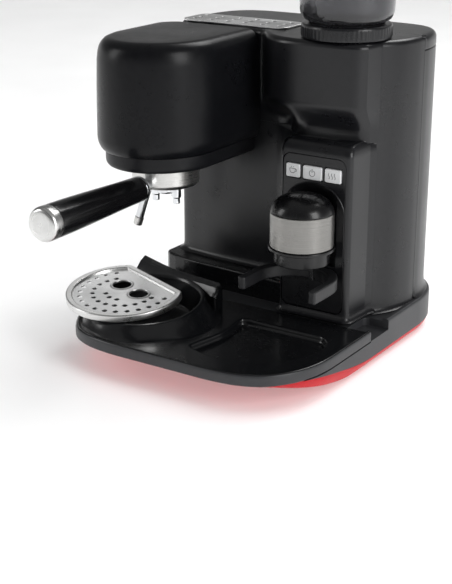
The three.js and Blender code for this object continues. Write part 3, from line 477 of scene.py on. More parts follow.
LX = np.linspace(-31, 78, 30); LP = np.array([[np.interp(x, [l[0] for l in LED], [l[k] for l in LED]) for k in range(6)] for x in LX])


def ledsec(x, yb, zt, yft, yfb, zin):
    """rear ledge: upright back, rounded top, front face with two soft steps"""
    P = [(yb, 34), (yb, zt - 2.2), (yb - .4, zt - .9), (yb - 1.2, zt - .1), (yb - 2.0, zt)]
    y1, z1 = mix(yft, yfb, .32), mix(zt, zin, .30)
    P += [(yft - .3, zt - .4), (y1 + .9, z1 + .9), (y1, z1 + .25), (y1 - 1.8, z1 - .1), (y1 - 3.0, z1 - 1.0), (mix(yft, yfb, .8), mix(zt, zin, .72)), (yfb - 1, zin - .6), (yfb - 3, zin - 3), (yfb - 3.6, 34)]
    return [(x, y, z) for y, z in P]


secs = [ledsec(*l) for l in LP]
# rounded ends
def endsec(sec, x, k):
    s = np.array(sec); c = np.array([s[:, 1].mean(), 40]); s[:, 0] = x; s[:, 2] = 34 + (s[:, 2] - 34) * k; s[:, 1] = c[0] + (s[:, 1] - c[0]) * (0.75 + .25 * k); return s.tolist()
secs = [endsec(secs[0], -33.4, .80), endsec(secs[0], -33, .92), endsec(secs[0], -32.2, .975)] + secs + [endsec(secs[-1], 79.4, .97), endsec(secs[-1], 80.4, .9), endsec(secs[-1], 80.8, .78)]
ledge = tmp(loft(secs))
trayO = union(trayO, bowl)
trayO = union(trayO, ledge)
bi = [circ(27, 85, 44, 31.2, 128), circ(27, 85, 47.5, 31.6, 128), circ(27, 85, 50, 33, 128), circ(26.6, 85.4, 52, 36, 128), circ(25.5, 86.5, 56.3, lambda x, y: brim(x, y) - 3, 128), circ(25.1, 86.9, 57.6, lambda x, y: brim(x, y) - .8, 128), circ(25, 87, 58.4, lambda x, y: brim(x, y) + .02, 128), circ(25, 87, 58.6, lambda x, y: brim(x, y) + 30, 128)]
trayO = minus(trayO, loft(bi))
REC = smoothpoly([(116, 129), (118, 132.4), (130, 133), (162, 133), (200, 132.8), (208, 132.4), (213.5, 129.5), (220, 122), (223.4, 111), (222.6, 98), (219.5, 84), (215, 71), (208, 60), (199, 49.5), (188, 41), (176, 35.5), (160, 33), (140, 34), (124, 38), (113, 43.5), (113.5, 52), (116.5, 68), (119.5, 88), (118.5, 108)], 200)
RN = normals2(REC)
rc = [(4.2, 30.8), (2.6, 30.9), (1.2, 31.5), (.5, 32.4), (.1, 33.8), (0, 35.2), (-.3, 36.5), (-.9, 37.25), (-1.8, 37.62), (-3.0, 37.82), (-3.2, 60)]
trayO = minus(trayO, loft([np.c_[inset(REC, d, RN), np.full(len(REC), z)] for d, z in rc]))
trayO = minus(trayO, box(-60, 260, 168.4, 420, 0, 120))
adopt(trayO, "drip_tray_body", DECK, "tray", ["drip_tray"], angle=28)

# the outer band of the tray carries the same grey as the rear frame
tb_ = bpy.data.objects["drip_tray_body"]; tb_.data.materials.append(RIM)
for f in tb_.data.polygons:
    c = tb_.matrix_world @ f.center; qx, qy = c.x * 1000 + 87.65, c.y * 1000 + 154.5
    if abs(f.normal.z) < .6 and c.z < .0402 and qy < 168 and np.min(np.hypot(OUT[:, 0] - qx, OUT[:, 1] - qy)) < 4: f.material_index = len(tb_.data.materials) - 1

# ------------------------------------------------------------------ steel drip grid
gyaw = math.radians(-17.4)
gu = np.array([math.cos(gyaw), math.sin(gyaw), 0]); gu[2] = -.028 * gu[0] + .107 * gu[1]; gu /= np.linalg.norm(gu)
gn = np.array([.028, -.107, 1]); gn /= np.linalg.norm(gn); gw = np.cross(gn, gu)
GR = np.c_[gu, gw, gn]; GC = np.array([5.5, 79.1, gp(5.5, 79.1)])


def dshape(r, ch, rc, n=72):
    a0 = math.asin(ch / r); xr = math.sqrt(r * r - ch * ch)
    A = [(r * math.cos(a), r * math.sin(a)) for a in np.linspace(math.pi - a0, 2 * math.pi + a0, n)]
    P = roundcorners(A, rc)
    return P


def roundcorners(A, rc):
    A = np.array(A); R = [0] * len(A); R[0] = R[-1] = rc
    # trim the arc near the corners so that the rounding has room
    keep = [i for i in range(len(A)) if i in (0, len(A) - 1) or min(np.linalg.norm(A[i] - A[0]), np.linalg.norm(A[i] - A[-1])) > rc * 1.3]
    A = A[keep]; R = [0] * len(A); R[0] = R[-1] = rc
    return roundpoly(A, R, 10)


D0 = dense(dshape(61, 40.5, 9), 2.6); DN = normals2(D0)
rimprof = [(1.2, -7.5), (.3, -7.1), (0, -6.3), (0, -1.5), (.15, -.9), (.5, -.35), (1.1, -.05), (1.7, 0), (5.3, 0), (5.9, -.05), (6.5, -.35), (6.9, -.9), (7, -1.5), (7, -6.3), (6.7, -7.1), (5.8, -7.5)]
V, F = loft([np.c_[inset(D0, d, DN), np.full(len(D0), z)] for d, z in rimprof], closed=True)
V, F = rot((V, F), GR, GC)
make("grid_rim", V, F, RIMSTEEL, "grid", ["drip_grid"])
pol = lambda r, a: (r * math.cos(math.radians(a)), r * math.sin(math.radians(a)))
small = [pol(19.5, a) for a in (-120, -90, -60)] + [pol(33, -90 + 18.3 * k) for k in range(-6, 7)] + [pol(46.3, -90 + 14.4 * k) for k in range(-8, 9)]
cir = lambda x, y, r, n=28: [(x + r * math.cos(a), y + r * math.sin(a)) for a in np.linspace(0, 2 * math.pi, n, endpoint=False)]
VF = plate(inset(D0, 5.6, DN), [cir(-14.8, 7, 9.8, 72), cir(14.8, 7, 9.8, 72)] + [cir(x, y, 2.6, 28) for x, y in small], 1.6, .28)
V, F = VF; V = V.copy(); V[:, 2] -= 3.2
V, F = rot((V, F), GR, GC)
make("grid_plate", V, F, STEEL, "grid", ["drip_grid"], angle=40)
# raised bosses round the two large holes
for i, sx in enumerate((-14.8, 14.8)):
    pr = [(9.9, -3.9), (9.9, -2.2), (10.1, -1.9), (10.6, -1.75), (11.4, -1.85), (12.2, -2.25), (12.8, -2.5), (12.8, -3.4)]
    V, F = rot(turned(pr, sx, 7, 72, closed=True), GR, GC)
    make("grid_hole_collar_%d" % (i + 1), V, F, STEEL, "grid", [])

# ------------------------------------------------------------------ body shell
WALL = [(-30.6, 252), (-29.6, 240), (-26.8, 232.7), (-19, 228.0), (3, 224.4), (29, 221.8), (54, 220.2), (100, 219), (134, 219)]
RIGHT = [(219.4, 217), (224.4, 225), (229, 233.6), (232.6, 243), (235.4, 254), (237.4, 266), (238, 276)]


def flare(h):
    """outward sweep of the foot of a wall, h above its base"""
    h = np.maximum(h, 0); return -5.2 * np.exp(-h / 2.1)


wl = smoothpoly(WALL[:-1], 60, closed=False)
left = dense(np.array([(-31, 276), (-31, 262), (-30.8, 256)]), 4)[:-1]
P = np.vstack([wl, [(134, 219), (150, 219), (168, 215), (190, 212), (206, 210), (214, 211.5)], smoothpoly(RIGHT, 34, closed=False), [(200, 276), (150, 276), (100, 276), (50, 276), (0, 276), (-31, 276), (-31, 264)]])
P = np.array(P); PN = normals2(P)
wallish = (P[:, 0] < 134) & (P[:, 1] < 262)
zb = np.where(wallish, 62.2, 38.3)
rightish = (P[:, 0] > 214)
movable = (wallish | rightish) & (P[:, 1] < 275.5)
zlev = [37.3, 38.3, 39, 40, 41.3, 43, 45.5, 49, 55, 60, 62.2, 62.9, 63.8, 65, 66.6, 69, 73, 80, 100, 130, 160, 190, 224]
rings = []
for z in zlev:
    d = np.where(movable, flare(z - zb) * np.where(P[:, 1] > 268, np.clip((276 - P[:, 1]) / 8, 0, 1) * .0 + 1, 1), 0)
    d = np.where(z < zb - .1, 0, d)
    d = np.where(rightish, d * .9, d)
    Q = P + PN * d[:, None]; Q[:, 1] = np.minimum(Q[:, 1], 276)
    rings.append(np.c_[Q, np.full(len(P), float(z))])
bodyO = tmp(loft(rings))
COL = dense(roundpoly([(134, 240), (134, 172.4), (213.9, 172.4), (216.4, 208), (219.2, 217), (219.2, 240)], [0, 5, 6.5, 8, 0, 0], 8), 6)
CN = normals2(COL)
cfront = COL[:, 1] < 236
rings = []
for h in [0, .6, 1.4, 2.6, 4.2, 6.5, 10, 20, 60, 120, 168.5]:
    d = np.where(cfront, flare(h) * .8, 0)
    rings.append(np.c_[COL + CN * d[:, None], np.full(len(COL), 40.3 + h)])
for a in np.linspace(0, 90, 10)[1:]:
    k = 13 * (1 - math.cos(math.radians(a))); z = 209 + 13 * math.sin(math.radians(a))
    d = np.where(cfront, k, 0)
    Q = COL.copy(); Q[:, 1] = np.where(COL[:, 1] < 210, COL[:, 1] + k, COL[:, 1]); Q[:, 0] += np.where(COL[:, 0] < 175, .45 * k, -.45 * k)
    rings.append(np.c_[Q, np.full(len(COL), z)])
bodyO = union(bodyO, loft(rings))
UPP = [(-31, 262), (-31, 250), (-30.2, 240.2), (-27.2, 233), (-19.6, 228.4), (3, 224.8), (54, 220.4), (81, 219.8), (92, 209), (103, 198), (118, 189.5), (140, 185), (192, 185), (207, 188.5), (216, 197)]
FY = {92: 219.4, 103: 219.4, 118: 219.4, 140: 198.6, 192: 199, 207: 202.4, 216: 210}
UF = [(x, FY.get(x, y)) for x, y in UPP]
up1 = np.vstack([smoothpoly(UPP, 110, closed=False), smoothpoly(RIGHT, 30, closed=False), [(238, 276), (-31, 276)]])
# matching lower outline: same stations along the polyline
S = smoothpoly(np.c_[np.array(UPP), np.array(UF)], 110, closed=False)
up0 = np.vstack([S[:, 2:], smoothpoly(RIGHT, 30, closed=False), [(238, 276), (-31, 276)]])
up1 = np.vstack([S[:, :2], smoothpoly(RIGHT, 30, closed=False), [(238, 276), (-31, 276)]])
U1N = normals2(up1)
rings = [np.c_[up0, np.full(len(up0), 219.0)], np.c_[up0, np.full(len(up0), 227.0)]]
for t in np.linspace(0, 1, 12)[1:]: rings.append(np.c_[mix(up0, up1, sm(0, 1, t)), np.full(len(up0), mix(228., 258., t))])
rings.append(np.c_[up1, np.full(len(up1), 300.0)])
for a in np.linspace(0, 90, 9):
    d = 6 * (1 - math.cos(math.radians(a))); Q = up1 + U1N * np.where(up1[:, 1] < 275.9, d, 0)[:, None]; Q[:, 1] = np.minimum(Q[:, 1], 276)
    rings.append(np.c_[Q, np.full(len(up1), 312 + 6 * math.sin(math.radians(a)))])
bodyO = union(bodyO, loft(rings))
# arched round niche for the chute
archp = [(173 - 34.7, 97), (173 + 34.7, 97)] + [(173 + 34.7 * math.cos(a), 150 + 31 * math.sin(a)) for a in np.linspace(0, math.pi, 48)]
V, F = loft([[(x, y, z) for x, z in archp] for y in (100, 200)])
niche = tmp((V, F))
cyl = loft([circ(173, 151, 34.6, z, 144) for z in (90, 195)])
niche = boolean(niche, cyl, 'INTERSECT')
nicheV = np.array([v.co[:] for v in niche.data.vertices]); nicheF = [tuple(p.vertices) for p in niche.data.polygons]
bodyO = minus(bodyO, niche)
pk = rrect(136.8, 209.2, 47, 208.4, 9.4, 10)
bodyO = minus(bodyO, loft([[(x, y, z) for x, z in pk] for y in (150, 176.2)]))
adopt(bodyO, "body_shell", SATIN, "root", ["main_body_shell"], angle=30)
# hopper throat in the top is covered by the grinder ring

# ------------------------------------------------------------------ control panel
BTN = [("cup", 141.4, 157.2), ("power", 160.6, 182.2), ("steam", 185.4, 203.6)]
VF = plate(rrect(137.4, 208.6, 47.6, 207.8, 8.8, 10), [rrect(a - .7, b + .7, 183.0, 198.2, 1.6, 5) for _, a, b in BTN], 2.7, .7, 3)
pan = tmp(xz(VF, 174.55))
pan = minus(pan, (nicheV, nicheF))
adopt(pan, "front_panel", SATIN, "root", ["control_panel"], angle=32)
# raised rim of the arch
AR = [(173 + 34.9 * math.cos(a), 150 + 31.2 * math.sin(a)) for a in np.linspace(math.pi, 0, 60)]
AR = [(173 - 34.9, z) for z in np.linspace(98.5, 149, 20)] + AR + [(173 + 34.9, z) for z in np.linspace(149, 98.5, 20)]
pts = []
for x, z in AR:
    xx = min(max(x - 173, -34.2), 34.2)
    pts.append((x, 173.15, z))
V, F = tube(pts, .85, 10)
make("niche_bead", V, F, SATIN, "root", [])
for n, a, b in BTN:
    VF = plate(rrect(a, b, 183.7, 197.5, 1.8, 6), [], 6.2, 1.1, 4)
    V, F = xz(VF, 174.7)
    make("key_" + n, V, F, WHITE, n + "_button", ["button_" + n])


def icon(name, body, curves, r=.32):
    parts = [tube([(x, 171.62, z) for x, z in c], r, 8) for c in curves]
    V, F = merge(*parts); make(name, V, F, ICON, body, [], wn=False)


ln = lambda *p: resample(np.array(p, float), 14, False)
icon("icon_cup", "cup_button", [ln((145.8, 192.6), (146.2, 189.6), (147.6, 188.2), (150.6, 188.2), (151.9, 189.6), (152.3, 192.6)), ln((145.8, 192.6), (152.3, 192.6)), [(152.4 + 1.3 * math.cos(a), 190.9 + 1.2 * math.sin(a)) for a in np.linspace(-1.4, 1.7, 12)], ln((147.6, 194), (148.2, 194.9)), ln((150.0, 194), (150.6, 194.9))])
icon("icon_power", "power_button", [[(171.4 + 3.1 * math.cos(a), 190.4 + 3.1 * math.sin(a)) for a in np.linspace(math.radians(118), math.radians(422), 36)], ln((171.4, 191.2), (171.4, 194.8))])
icon("icon_steam", "steam_button", [[(190.6 + 3.2 * k + .55 * math.sin(t * 6.2), 187.6 + 6 * t) for t in np.linspace(0, 1, 22)] for k in range(3)])

# ------------------------------------------------------------------ chute, fork, trigger
V, F = turned([(1, 174.8), (5, 174.75), (10, 174.3), (15, 173.4), (19.5, 172.0), (23.5, 170.0), (26.6, 167.6), (29, 164.8), (30.6, 161.8), (31.5, 159.2), (31.75, 157.9), (31.5, 157.4), (30.8, 157.3), (29.4, 157.3), (28, 162), (20, 169), (8, 171), (1, 171)], 173, 151, 128)
make("chute_cap", V, F, GLOSS, "root", ["chute_dome"])
V, F = turned([(31.3, 122.3), (31.7, 122.7), (31.8, 123.2), (31.8, 156.1), (31.7, 156.6), (31.3, 157.0), (29.6, 157.0), (29.4, 156.6), (29.4, 122.3)], 173, 151, 144, closed=True)
# the chute band's material carries painted shade in its darkened steel colour
make("chute_steel_band", V, F, BAND_PAINTED_SHADE, "root", ["chute_band"])
V, F = turned([(32.4, 118.6), (33.1, 118.8), (33.4, 119.4), (33.4, 121.1), (33.1, 121.8), (32.4, 122.1), (24.6, 122.1), (24.6, 118.6)], 173, 151, 128, closed=True)
make("chute_lower_ring", V, F, GLOSS, "root", ["chute_ring"])
V, F = turned([(26.9, 104.6), (27.6, 104.9), (28, 105.8), (28, 118.5), (22.4, 118.5), (22.4, 105.4), (22.9, 104.8), (23.8, 104.6)], 173, 152, 128, closed=True)
make("chute_outlet", V, F, GLOSS, "root", ["chute_neck"])
FP = [(129, 103.4), (130.6, 101.6), (135.6, 101.6), (137, 103.4)] + [(173 + 36 * math.cos(a), 131 + 36.4 * math.sin(a)) for a in np.linspace(math.pi, 0, 50)] + [(209, 103.4), (210.6, 101.6), (215.6, 101.6), (217, 103.4)] + [(173 + 44 * math.cos(a), 135 + 44 * math.sin(a)) for a in np.linspace(0, math.pi, 50)]
FP = np.array(FP); FP[:, 1] = np.minimum(FP[:, 1], 172.2)
FP = roundpoly(FP, [1.5, 1.5, 1.5, 1.5] + [0] * 50 + [1.5] * 4 + [0] * 50, 4)
V, F = plate(FP, [], 13, 1.6, 4); V = V.copy(); V[:, 2] += 88.5
make("filter_fork", V, F, FORKM, "root", ["portafilter_fork"], angle=35)
lv = roundpoly([(158.6, 84), (161.2, 84), (161.2, 99.6), (178, 99.6), (178, 103.6), (158.6, 103.6)], [.9, .9, 1.2, 0, 0, 2], 5)
VF = plate([(y, z) for y, z in lv], [], 4, .7, 3)
V, F = VF; V = np.c_[180 + V[:, 2], V[:, 0], V[:, 1]]
make("start_lever", V, F, SATIN, "trigger", ["grinder_trigger"])

# ------------------------------------------------------------------ brewing head
GX, GY = 16, 140


def stadium(r, w, yb, n=72, rb=10):
    A = [(GX + w * math.cos(a), GY + r * math.sin(a)) for a in np.linspace(math.pi, 2 * math.pi, n)]
    side = [(GX + w, y) for y in np.linspace(GY, yb, 12)[1:]]
    bl = roundpoly([(GX + w, yb), (GX - w, yb), (GX - w, GY)], [0, 18, 0], 10)[1:-1]
    lside = [(GX - w, y) for y in np.linspace(yb - 18, GY, 12)[1:-1]]
    return np.array(A + side + [tuple(p) for p in bl] + lside)


def hring(k, z, yb=218.6): return np.c_[stadium(75 - k, 65 - k * .9, yb), np.full(len(stadium(75, 65, yb)), float(z))]


hp = [(30, 206.2), (8.6, 206.0), (7.4, 205.7), (6.3, 205.9), (5.2, 206.6), (4.0, 207.8), (2.8, 209.5), (1.7, 211.6), (.8, 214), (.2, 217), (0, 220), (.3, 240), (.9, 270), (1.9, 296), (3, 304), (4.6, 309.4), (7, 313.2), (10, 315.9), (14, 317.5), (19, 318), (34, 318)]
V, F = loft([hring(k, z, 218.6) for k, z in hp])
make("brew_head", V, F, HEADM, "root", ["head_shell"])


def cring(k, z): return np.c_[stadium(66 - k, 58 - k, 218.6), np.full(len(stadium(66, 58, 218.6)), float(z))]


cp = [(16, 190.6), (15.4, 190.1), (4.4, 190.0), (3.0, 190.2), (1.8, 190.8), (.9, 191.9), (.3, 193.4), (0, 195.4), (0, 205.2), (16, 205.2)]
colr = tmp(loft([cring(k, z) for k, z in cp]))
colr = minus(colr, loft([circ(GX, GY, 49.5, z, 128) for z in (180, 215)]))
adopt(colr, "brew_collar", COLLARM, "root", ["head_collar"], angle=32)
V, F = turned([(1, 214), (49, 214), (49.2, 192), (48.6, 191.2), (47.6, 191), (38, 191), (37.2, 191.4), (37, 192.4), (41.4, 192.4), (41.4, 202.4), (1, 202.4)], GX, GY, 128)
make("group_ring", V, F, ALU, "root", ["group_head"])

# ------------------------------------------------------------------ portafilter
V, F = turned([(4.4, 164), (24, 164), (27.5, 164.2), (30.4, 164.8), (32.6, 165.8), (34.1, 167.2), (34.8, 168.8), (35, 170.4), (35, 186.8), (35.2, 187.2), (35.9, 187.6), (36.1, 188.3), (35.9, 189.0), (35.2, 189.4), (34.4, 189.6), (34.2, 190.2), (34.2, 198.2), (31.4, 198.2), (31.2, 197.6), (31.2, 171), (30, 169.2), (4.4, 168.6)], GX, GY, 128, closed=True)
make("filter_holder", V, F, STEEL_Z, "portafilter", ["portafilter_body"])
for i, s in enumerate((0, math.pi)):
    Q = [(x, y) for x, y in roundpoly([(32, -7), (40.4, -7), (40.4, 7), (32, 7)], [0, 2, 2, 0], 5)]
    c, sn = math.cos(s), math.sin(s)
    V, F = plate([(GX + x * c - y * sn, GY + x * sn + y * c) for x, y in Q], [], 3.6, .6, 3); V = V.copy(); V[:, 2] += 194.8
    make("holder_lug_%d" % (i + 1), V, F, STEEL, "portafilter", [])
hub = turned([(1, 155), (8.4, 155), (9.2, 155.4), (9.6, 156.4), (9.8, 158), (9.8, 162.6), (10.4, 163.5), (11.2, 163.9), (1, 163.9)], GX, GY, 96)
arm = [(GX - 13 + 5 * math.cos(t), GY + 5 * math.sin(t)) for t in np.linspace(math.pi / 2, 1.5 * math.pi, 24)] + [(GX + 13 + 5 * math.cos(t), GY + 5 * math.sin(t)) for t in np.linspace(-math.pi / 2, math.pi / 2, 24)]
av, af = plate(arm, [], 6.2, 1.2, 4); av = np.array(av, float); av[:, 2] += 156.4 - av[:, 2].min()
outs = [turned([(2.4, 147), (2.5, 145.2), (2.9, 145), (3.5, 145.1), (3.8, 145.6), (3.8, 150.6), (4.0, 151.1), (4.7, 151.7), (5, 152.3), (5, 160.8), (4.6, 161.9), (3.6, 162.4), (1, 162.4), (1, 147)], GX + k, GY, 56, closed=True) for k in (-13, 13)]
V, F = merge(hub, (av, af), *outs)
make("twin_spout", V, F, CHROME, "portafilter", ["portafilter_spout"])


def alongY(profile, n=96):
    V, F = turned([(r, -y) for r, y in profile], 0, 0, n)          # turned about z, then laid along y
    return np.c_[V[:, 0] + GX, -V[:, 2] * 1.0, V[:, 1] + 169], F


def axisY(profile, n=96, closed=False):
    """profile of (radius, y) pairs, turned about the handle axis"""
    rings = []
    a = np.linspace(0, 2 * np.pi, n, endpoint=False)
    for r, y in profile: rings.append(np.c_[GX + r * np.cos(a), np.full(n, float(y)), 169 + r * np.sin(a)])
    return loft(rings, closed=closed)


neck = tmp(axisY([(7, 112), (7.2, 106), (8, 103.4), (9.4, 100.6), (11.2, 98), (12.4, 96.4), (12.9, 95.2), (13, 94.4), (13, 92), (12.7, 91.5), (12.1, 91.4), (1, 91.4)][::-1]))
neck = minus(neck, loft([circ(GX, GY, 35.2, z, 128) for z in (140, 200)]))
adopt(neck, "handle_neck", CHROME, "portafilter", ["handle_ferrule"], angle=35)
hpf = [(11, 91.0), (12.3, 91.0), (12.8, 90.6), (13.0, 89.8), (13.1, 86)] + [(mix(13.1, 16.6, sm(0, 1, t) * .35 + t * .65), mix(86, -20, t)) for t in np.linspace(0, 1, 14)[1:]] + [(16.75, -34), (16.8, -41), (16.6, -42.2), (16.0, -42.6), (8, -42.6)]
V, F = axisY(hpf)
make("filter_handle", V, F, GRIP, "portafilter", ["portafilter_handle"])
cpf = [(8, -43.0), (16.2, -43.0), (16.8, -43.3), (17, -44), (17, -50.8), (16.8, -52.4), (16.2, -54), (15.2, -55.3), (13.8, -56.2), (12, -56.7), (9, -56.95), (1, -57)]
V, F = axisY(cpf)
make("handle_cap", V, F, STEEL_Y, "portafilter", ["handle_end_cap"])

# ------------------------------------------------------------------ steam wand and knob
V, F = turned([(4.9, 189.8), (6.6, 189.4), (7.7, 188.3), (8.2, 186.6), (8.3, 184.8), (7.9, 182.6), (7.1, 180.6), (5.8, 178.9), (4.4, 178.2), (1, 178)], -7, 186, 64)
make("wand_ball", V, F, CHROME, "wand", ["steam_ball_joint"])
wp = smoothpoly([(-7, 186, 178.6), (-7.5, 185.5, 173.4), (-13, 179.6, 168.4), (-20, 172, 163.4), (-25.4, 167, 151), (-30, 164, 135), (-35.4, 161.6, 115)], 70, closed=False)
V, F = tube(wp, 4.55, 40)
make("wand_tube", V, F, CHROME, "wand", ["steam_wand"])
wd = np.array([-5.4, -2.4, -20.]); wd /= np.linalg.norm(wd); w0 = np.array([-35.4, 161.6, 115.])
ts, rs = zip(*[(.3, 3.6), (.5, 4.5), (.9, 4.95), (5.4, 4.95), (8.4, 4.9), (9.1, 4.7), (9.6, 4.2), (9.9, 3.2), (10.0, 1.5), (10.02, .4)])
V, F = tube([w0 + wd * t for t in ts], np.array(rs), 40)
make("wand_tip", V, F, STEEL_Z, "wand", ["steam_tip"])
kx = -49.6


def knobring(r, x, n=144, lobes=0, amp=0):
    a = np.linspace(0, 2 * np.pi, n, endpoint=False); rr = r + amp * np.cos(lobes * a)
    return np.c_[np.full(n, kx - x), 168 + rr * np.cos(a), 262 + rr * np.sin(a)]


kr = [knobring(6.6, .1), knobring(7, .4), knobring(7, 2.4), knobring(17.6, 2.6), knobring(18.8, 2.9), knobring(19.4, 3.8)]
kr += [knobring(19.55, x, lobes=24, amp=am) for x, am in ((4.6, .0), (5.4, .35), (7, .42), (14.4, .42), (16, .35), (17, .0))]
kr += [knobring(19.2, 17.8), knobring(18.4, 18.8), knobring(17, 19.5), knobring(15, 19.85), knobring(11, 19.9), knobring(10.4, 19.7), knobring(10, 19.3), knobring(1, 19.2)]
V, F = loft(kr)
make("steam_dial", V, F, SATIN, "knob", ["steam_knob"])
V, F = tube([(kx - 19.1, 168, 262 + t) for t in (11.6, 16.4)], .7, 12)
make("steam_dial_mark", V, F, WHITE, "knob", [])

# ------------------------------------------------------------------ top
wx = [cir(-12 + (i % 6) * 21, 237 + (i // 6) * 12, 3, 32) for i in range(18)]
VF = plate(rrect(-24, 104, 226, 272, 10, 10), wx, 2, .6, 3); V, F = VF; V = V.copy(); V[:, 2] += 319.2
make("cup_shelf", V, F, STEEL, "root", ["cup_warmer_plate"], angle=40)
BX, BY = 176, 226
a = np.linspace(0, 2 * np.pi, 240, endpoint=False)


def rib(r, z, amp): return np.c_[BX + (r + amp * np.cos(60 * a)) * np.cos(a), BY + (r + amp * np.cos(60 * a)) * np.sin(a), np.full(240, float(z))]


V, F = loft([rib(37.4, 318.7, 0), rib(44, 318.7, 0), rib(44.7, 319.2, 0), rib(44.9, 320.2, 0), rib(45.0, 321, .3), rib(45.0, 329, .3), rib(44.9, 330, 0), rib(44.6, 331.2, 0), rib(43.8, 332.1, 0), rib(42.8, 332.4, 0), rib(38, 332.4, 0), rib(37.4, 332, 0)], closed=True)
make("adjust_ring", V, F, SATIN, "adjuster", ["grind_adjust_ring"])
hp2 = [(33, 306), (33, 318.4), (36.6, 318.5), (36.6, 332.6), (38.4, 334.2), (41.4, 335.6), (43.6, 337.2), (45, 339.6), (46.0, 342), (46.7, 345.6), (47.4, 362), (48.2, 384), (48.6, 394.6), (48.4, 395.7), (47.6, 396), (46.8, 395.7), (46.4, 394.6), (45.2, 362), (44.5, 346), (43.6, 342.6), (42, 339.8), (39.6, 337.6), (34.8, 334.6), (34.4, 333), (34.4, 320.4), (30.6, 320.4), (30.6, 306)]
V, F = turned(hp2, BX, BY, 128, closed=True)
make("hopper_bowl", V, F, SMOKE, "hopper", ["bean_hopper"])
lp = [(1, 408.4), (8, 408.35), (9, 408.1), (11, 407.6), (20, 407.4), (36, 406.2), (44, 405.2), (47, 404.4), (48.8, 402.8), (49.7, 400.6), (49.8, 397.2), (49.5, 396.5), (48.8, 396.3), (45.8, 396.3), (45.6, 387), (43.6, 387), (43.6, 397.6), (41.6, 400.8), (20, 404.4), (1, 405)]
V, F = turned(lp, BX, BY, 128)
make("hopper_cover", V, F, SMOKE, "hopper_cover", ["hopper_lid"])

# ------------------------------------------------------------------ water tank and its lid
TK = [(238, 276.4), (237.8, 288), (235, 305), (229.6, 320), (221.6, 331.6), (211, 339.6), (198, 344), (180, 346), (103.5, 346.8), (27, 346), (9, 344), (-4, 339.6), (-14.6, 331.6), (-22.6, 320), (-28, 305), (-30.8, 288), (-31, 276.4)]
tk = np.vstack([smoothpoly(TK, 170, closed=False), [(x, 276.4) for x in np.linspace(-31, 238, 20)[1:-1]]])
TN = normals2(tk); free = tk[:, 1] > 276.5


def tring(d, z, f=False):
    dd = np.where(free, d, np.where(f, d, 0)) if f is False else np.full(len(tk), d)
    Q = tk + TN * dd[:, None]; Q[:, 1] = np.maximum(Q[:, 1], 276.4); return np.c_[Q, np.full(len(tk), float(z))]


tp = [(14, 40.5), (-3.4, 40.5), (-4.2, 40.8), (-4.0, 41.3), (-3.0, 42.4), (-2.0, 43.8), (-1.2, 45.6), (-.5, 48.6), (-.1, 53), (0, 60), (0, 150), (0, 250), (0, 301.6), (.3, 302.5), (1, 303), (2.4, 303)]
rings = [tring(d, z) for d, z in tp]
rings += [np.c_[inset(tk, d, TN), np.full(len(tk), float(z))] for d, z in ((2.6, 303), (2.6, 46.4), (4.4, 44))]
V, F = loft(rings)
make("tank_body", V, F, WALLM, "tank", ["water_tank"])
lp = [(14, 303.5), (1, 303.5), (.3, 303.8), (0, 304.6), (0, 311)] + [(7 * (1 - math.cos(math.radians(t))), 311 + 7 * math.sin(math.radians(t))) for t in np.linspace(8, 90, 9)] + [(16, 318)]
V, F = loft([tring(d, z) for d, z in lp])
make("tank_cover_plate", V, F, SATIN, "tank_cover", ["tank_lid"])
V, F = plate(rrect(84, 123, 281.5, 290, 4, 8), [], 1.2, .5, 3); V = V.copy(); V[:, 2] += 317.6
make("tank_finger_pad", V, F, RIM, "tank_cover", [])
PI = tmp(xz(plate(rrect(40, 68, 14, 34, 3, 6), [], 3.1, .7, 3), 364.45))
PI = minus(PI, loft([[(x, y, z) for x, z in rrect(44.5, 63.5, 17.5, 30.5, 3, 6)] for y in (363.6, 370)]))
adopt(PI, "inlet_socket", SATIN, "root", ["power_inlet"], angle=35)
for i, x in enumerate((49, 54, 59)):
    V, F = tube([(x, 363, 24), (x, 365.6, 24)], 1.1, 12)
    make("inlet_pin_%d" % (i + 1), V, F, CHROME, "root", [])

# ------------------------------------------------------------------ inner CAD nodes keep their own mesh, with a worn material each
for n, m in {"group_gasket": SEAL, "shower_screen": STEEL, "shower_screw": STEEL, "filter_basket": STEEL_Z, "thermoblock": ALU, "upper_burr": STEEL_Z, "lower_burr": STEEL_Z, "burr_carrier": ALU, "grinder_motor": MOTOR, "coffee_duct": RIM,
             "water_pump": RIM, "control_board": PCB, "button_board": PCB}.items():
    o = NODES[n]; o.data.materials.clear(); o.data.materials.append(m)
    o.data.polygons.foreach_set("material_index", [0] * len(o.data.polygons))
    b = o.modifiers.new("edge", 'BEVEL'); b.width = .00035; b.segments = 2; b.limit_method = 'ANGLE'; b.angle_limit = math.radians(40)

# ------------------------------------------------------------------ floor, lights, camera
fm = Mat("worktop")
g1, g2 = fm.noise(6, 4), fm.noise(420, 3)
fm.set(Base_Color=fm.mixc(fm.rng(g1, 0, 1), (.93, .93, .93), (.955, .955, .955)), Roughness=fm.rng(g1, .32, .40), Normal=fm.bump(g2, .03, .00005), Specular_IOR_Level=.35)
fl = bpy.data.meshes.new("worktop"); fl.from_pydata([(-9, -9, 0), (9, -9, 0), (9, 9, 0), (-9, 9, 0)], [], [(0, 1, 2, 3)]); fl.materials.append(fm.m)
flo = bpy.data.objects.new("worktop", fl); bpy.context.scene.collection.objects.link(flo)


def area(name, loc, target, size, power, shape='RECTANGLE', sy=None, spread=180):
    l = bpy.data.lights.new(name, 'AREA'); l.energy = power; l.shape = shape; l.size = size; l.size_y = sy or size; l.spread = math.radians(spread)
    o = bpy.data.objects.new(name, l); bpy.context.scene.collection.objects.link(o); o.location = loc
    o.rotation_euler = (Vector(target) - Vector(loc)).to_track_quat('-Z', 'Y').to_euler(); return o


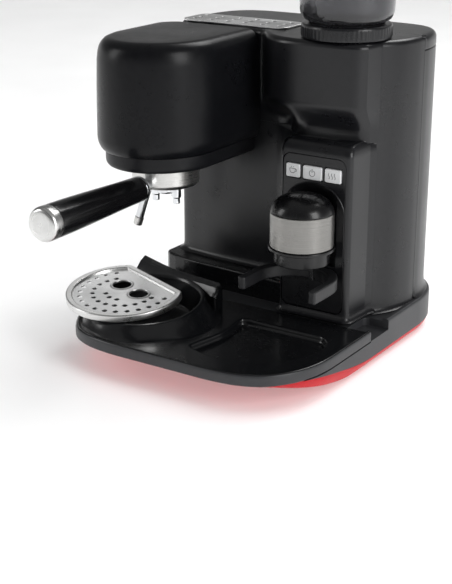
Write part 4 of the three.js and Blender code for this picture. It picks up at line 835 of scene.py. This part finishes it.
area("key_right", (1.9, -.35, .95), (0, 0, .2), .8, 19, sy=1.2)
area("fill_left", (-1.7, -1.1, 1.0), (0, 0, .2), .7, 9, sy=1.1)
area("back_top", (.2, 1.7, 2.1), (0, 0, .1), 1.5, 26, sy=.9)
glint = area("grid_glint", (-1.19, 1.2, 1.12), (-.08, -.07, .07), .75, .2, sy=.75, spread=70)
gc_ = bpy.data.collections.new("grid_only"); glint.light_linking.receiver_collection = gc_
for nm in ("grid_rim", "grid_plate", "grid_hole_collar_1", "grid_hole_collar_2"): gc_.objects.link(bpy.data.objects[nm])
w = bpy.data.worlds.new("studio"); bpy.context.scene.world = w; w.use_nodes = True
wt = w.node_tree; wg = wt.nodes.new("ShaderNodeTexCoord"); wx_ = wt.nodes.new("ShaderNodeSeparateXYZ"); wr = wt.nodes.new("ShaderNodeValToRGB")
wt.links.new(wg.outputs["Generated"], wx_.inputs[0]); wt.links.new(wx_.outputs["Z"], wr.inputs[0]); wt.links.new(wr.outputs[0], wt.nodes["Background"].inputs[0])
we = wr.color_ramp.elements
for q in range(3): we.new(.5)
for el, (q, c) in zip(we, ((0, .95), (.05, .80), (.17, .26), (.5, .12), (1, .30))): el.position = q; el.color = (c, c, c, 1)
wt.nodes["Background"].inputs[1].default_value = 1.0
rc_ = bpy.data.collections.new("floor_only"); rc_.objects.link(flo)
for nm, en in (("floor_wash", .75), ("floor_fill", 1.5)):
    sl = bpy.data.lights.new(nm, 'SUN'); sl.energy = en; sl.angle = math.radians(50)
    so = bpy.data.objects.new(nm, sl); bpy.context.scene.collection.objects.link(so); so.rotation_euler = (math.radians(-14), math.radians(20), 0)
    so.light_linking.receiver_collection = rc_
    if nm == "floor_fill": so.light_linking.blocker_collection = rc_
cam = bpy.data.cameras.new("cam"); co = bpy.data.objects.new("cam", cam); bpy.context.scene.collection.objects.link(co)
cam.sensor_width = 36; cam.lens = 80.8; cam.clip_start = .05; cam.clip_end = 60
co.location = (.70355, -1.0792, .5232); co.rotation_euler = (math.radians(70.0), 0, math.radians(33.35))
bpy.context.scene.camera = co
bpy.context.scene.view_settings.view_transform = 'Standard'
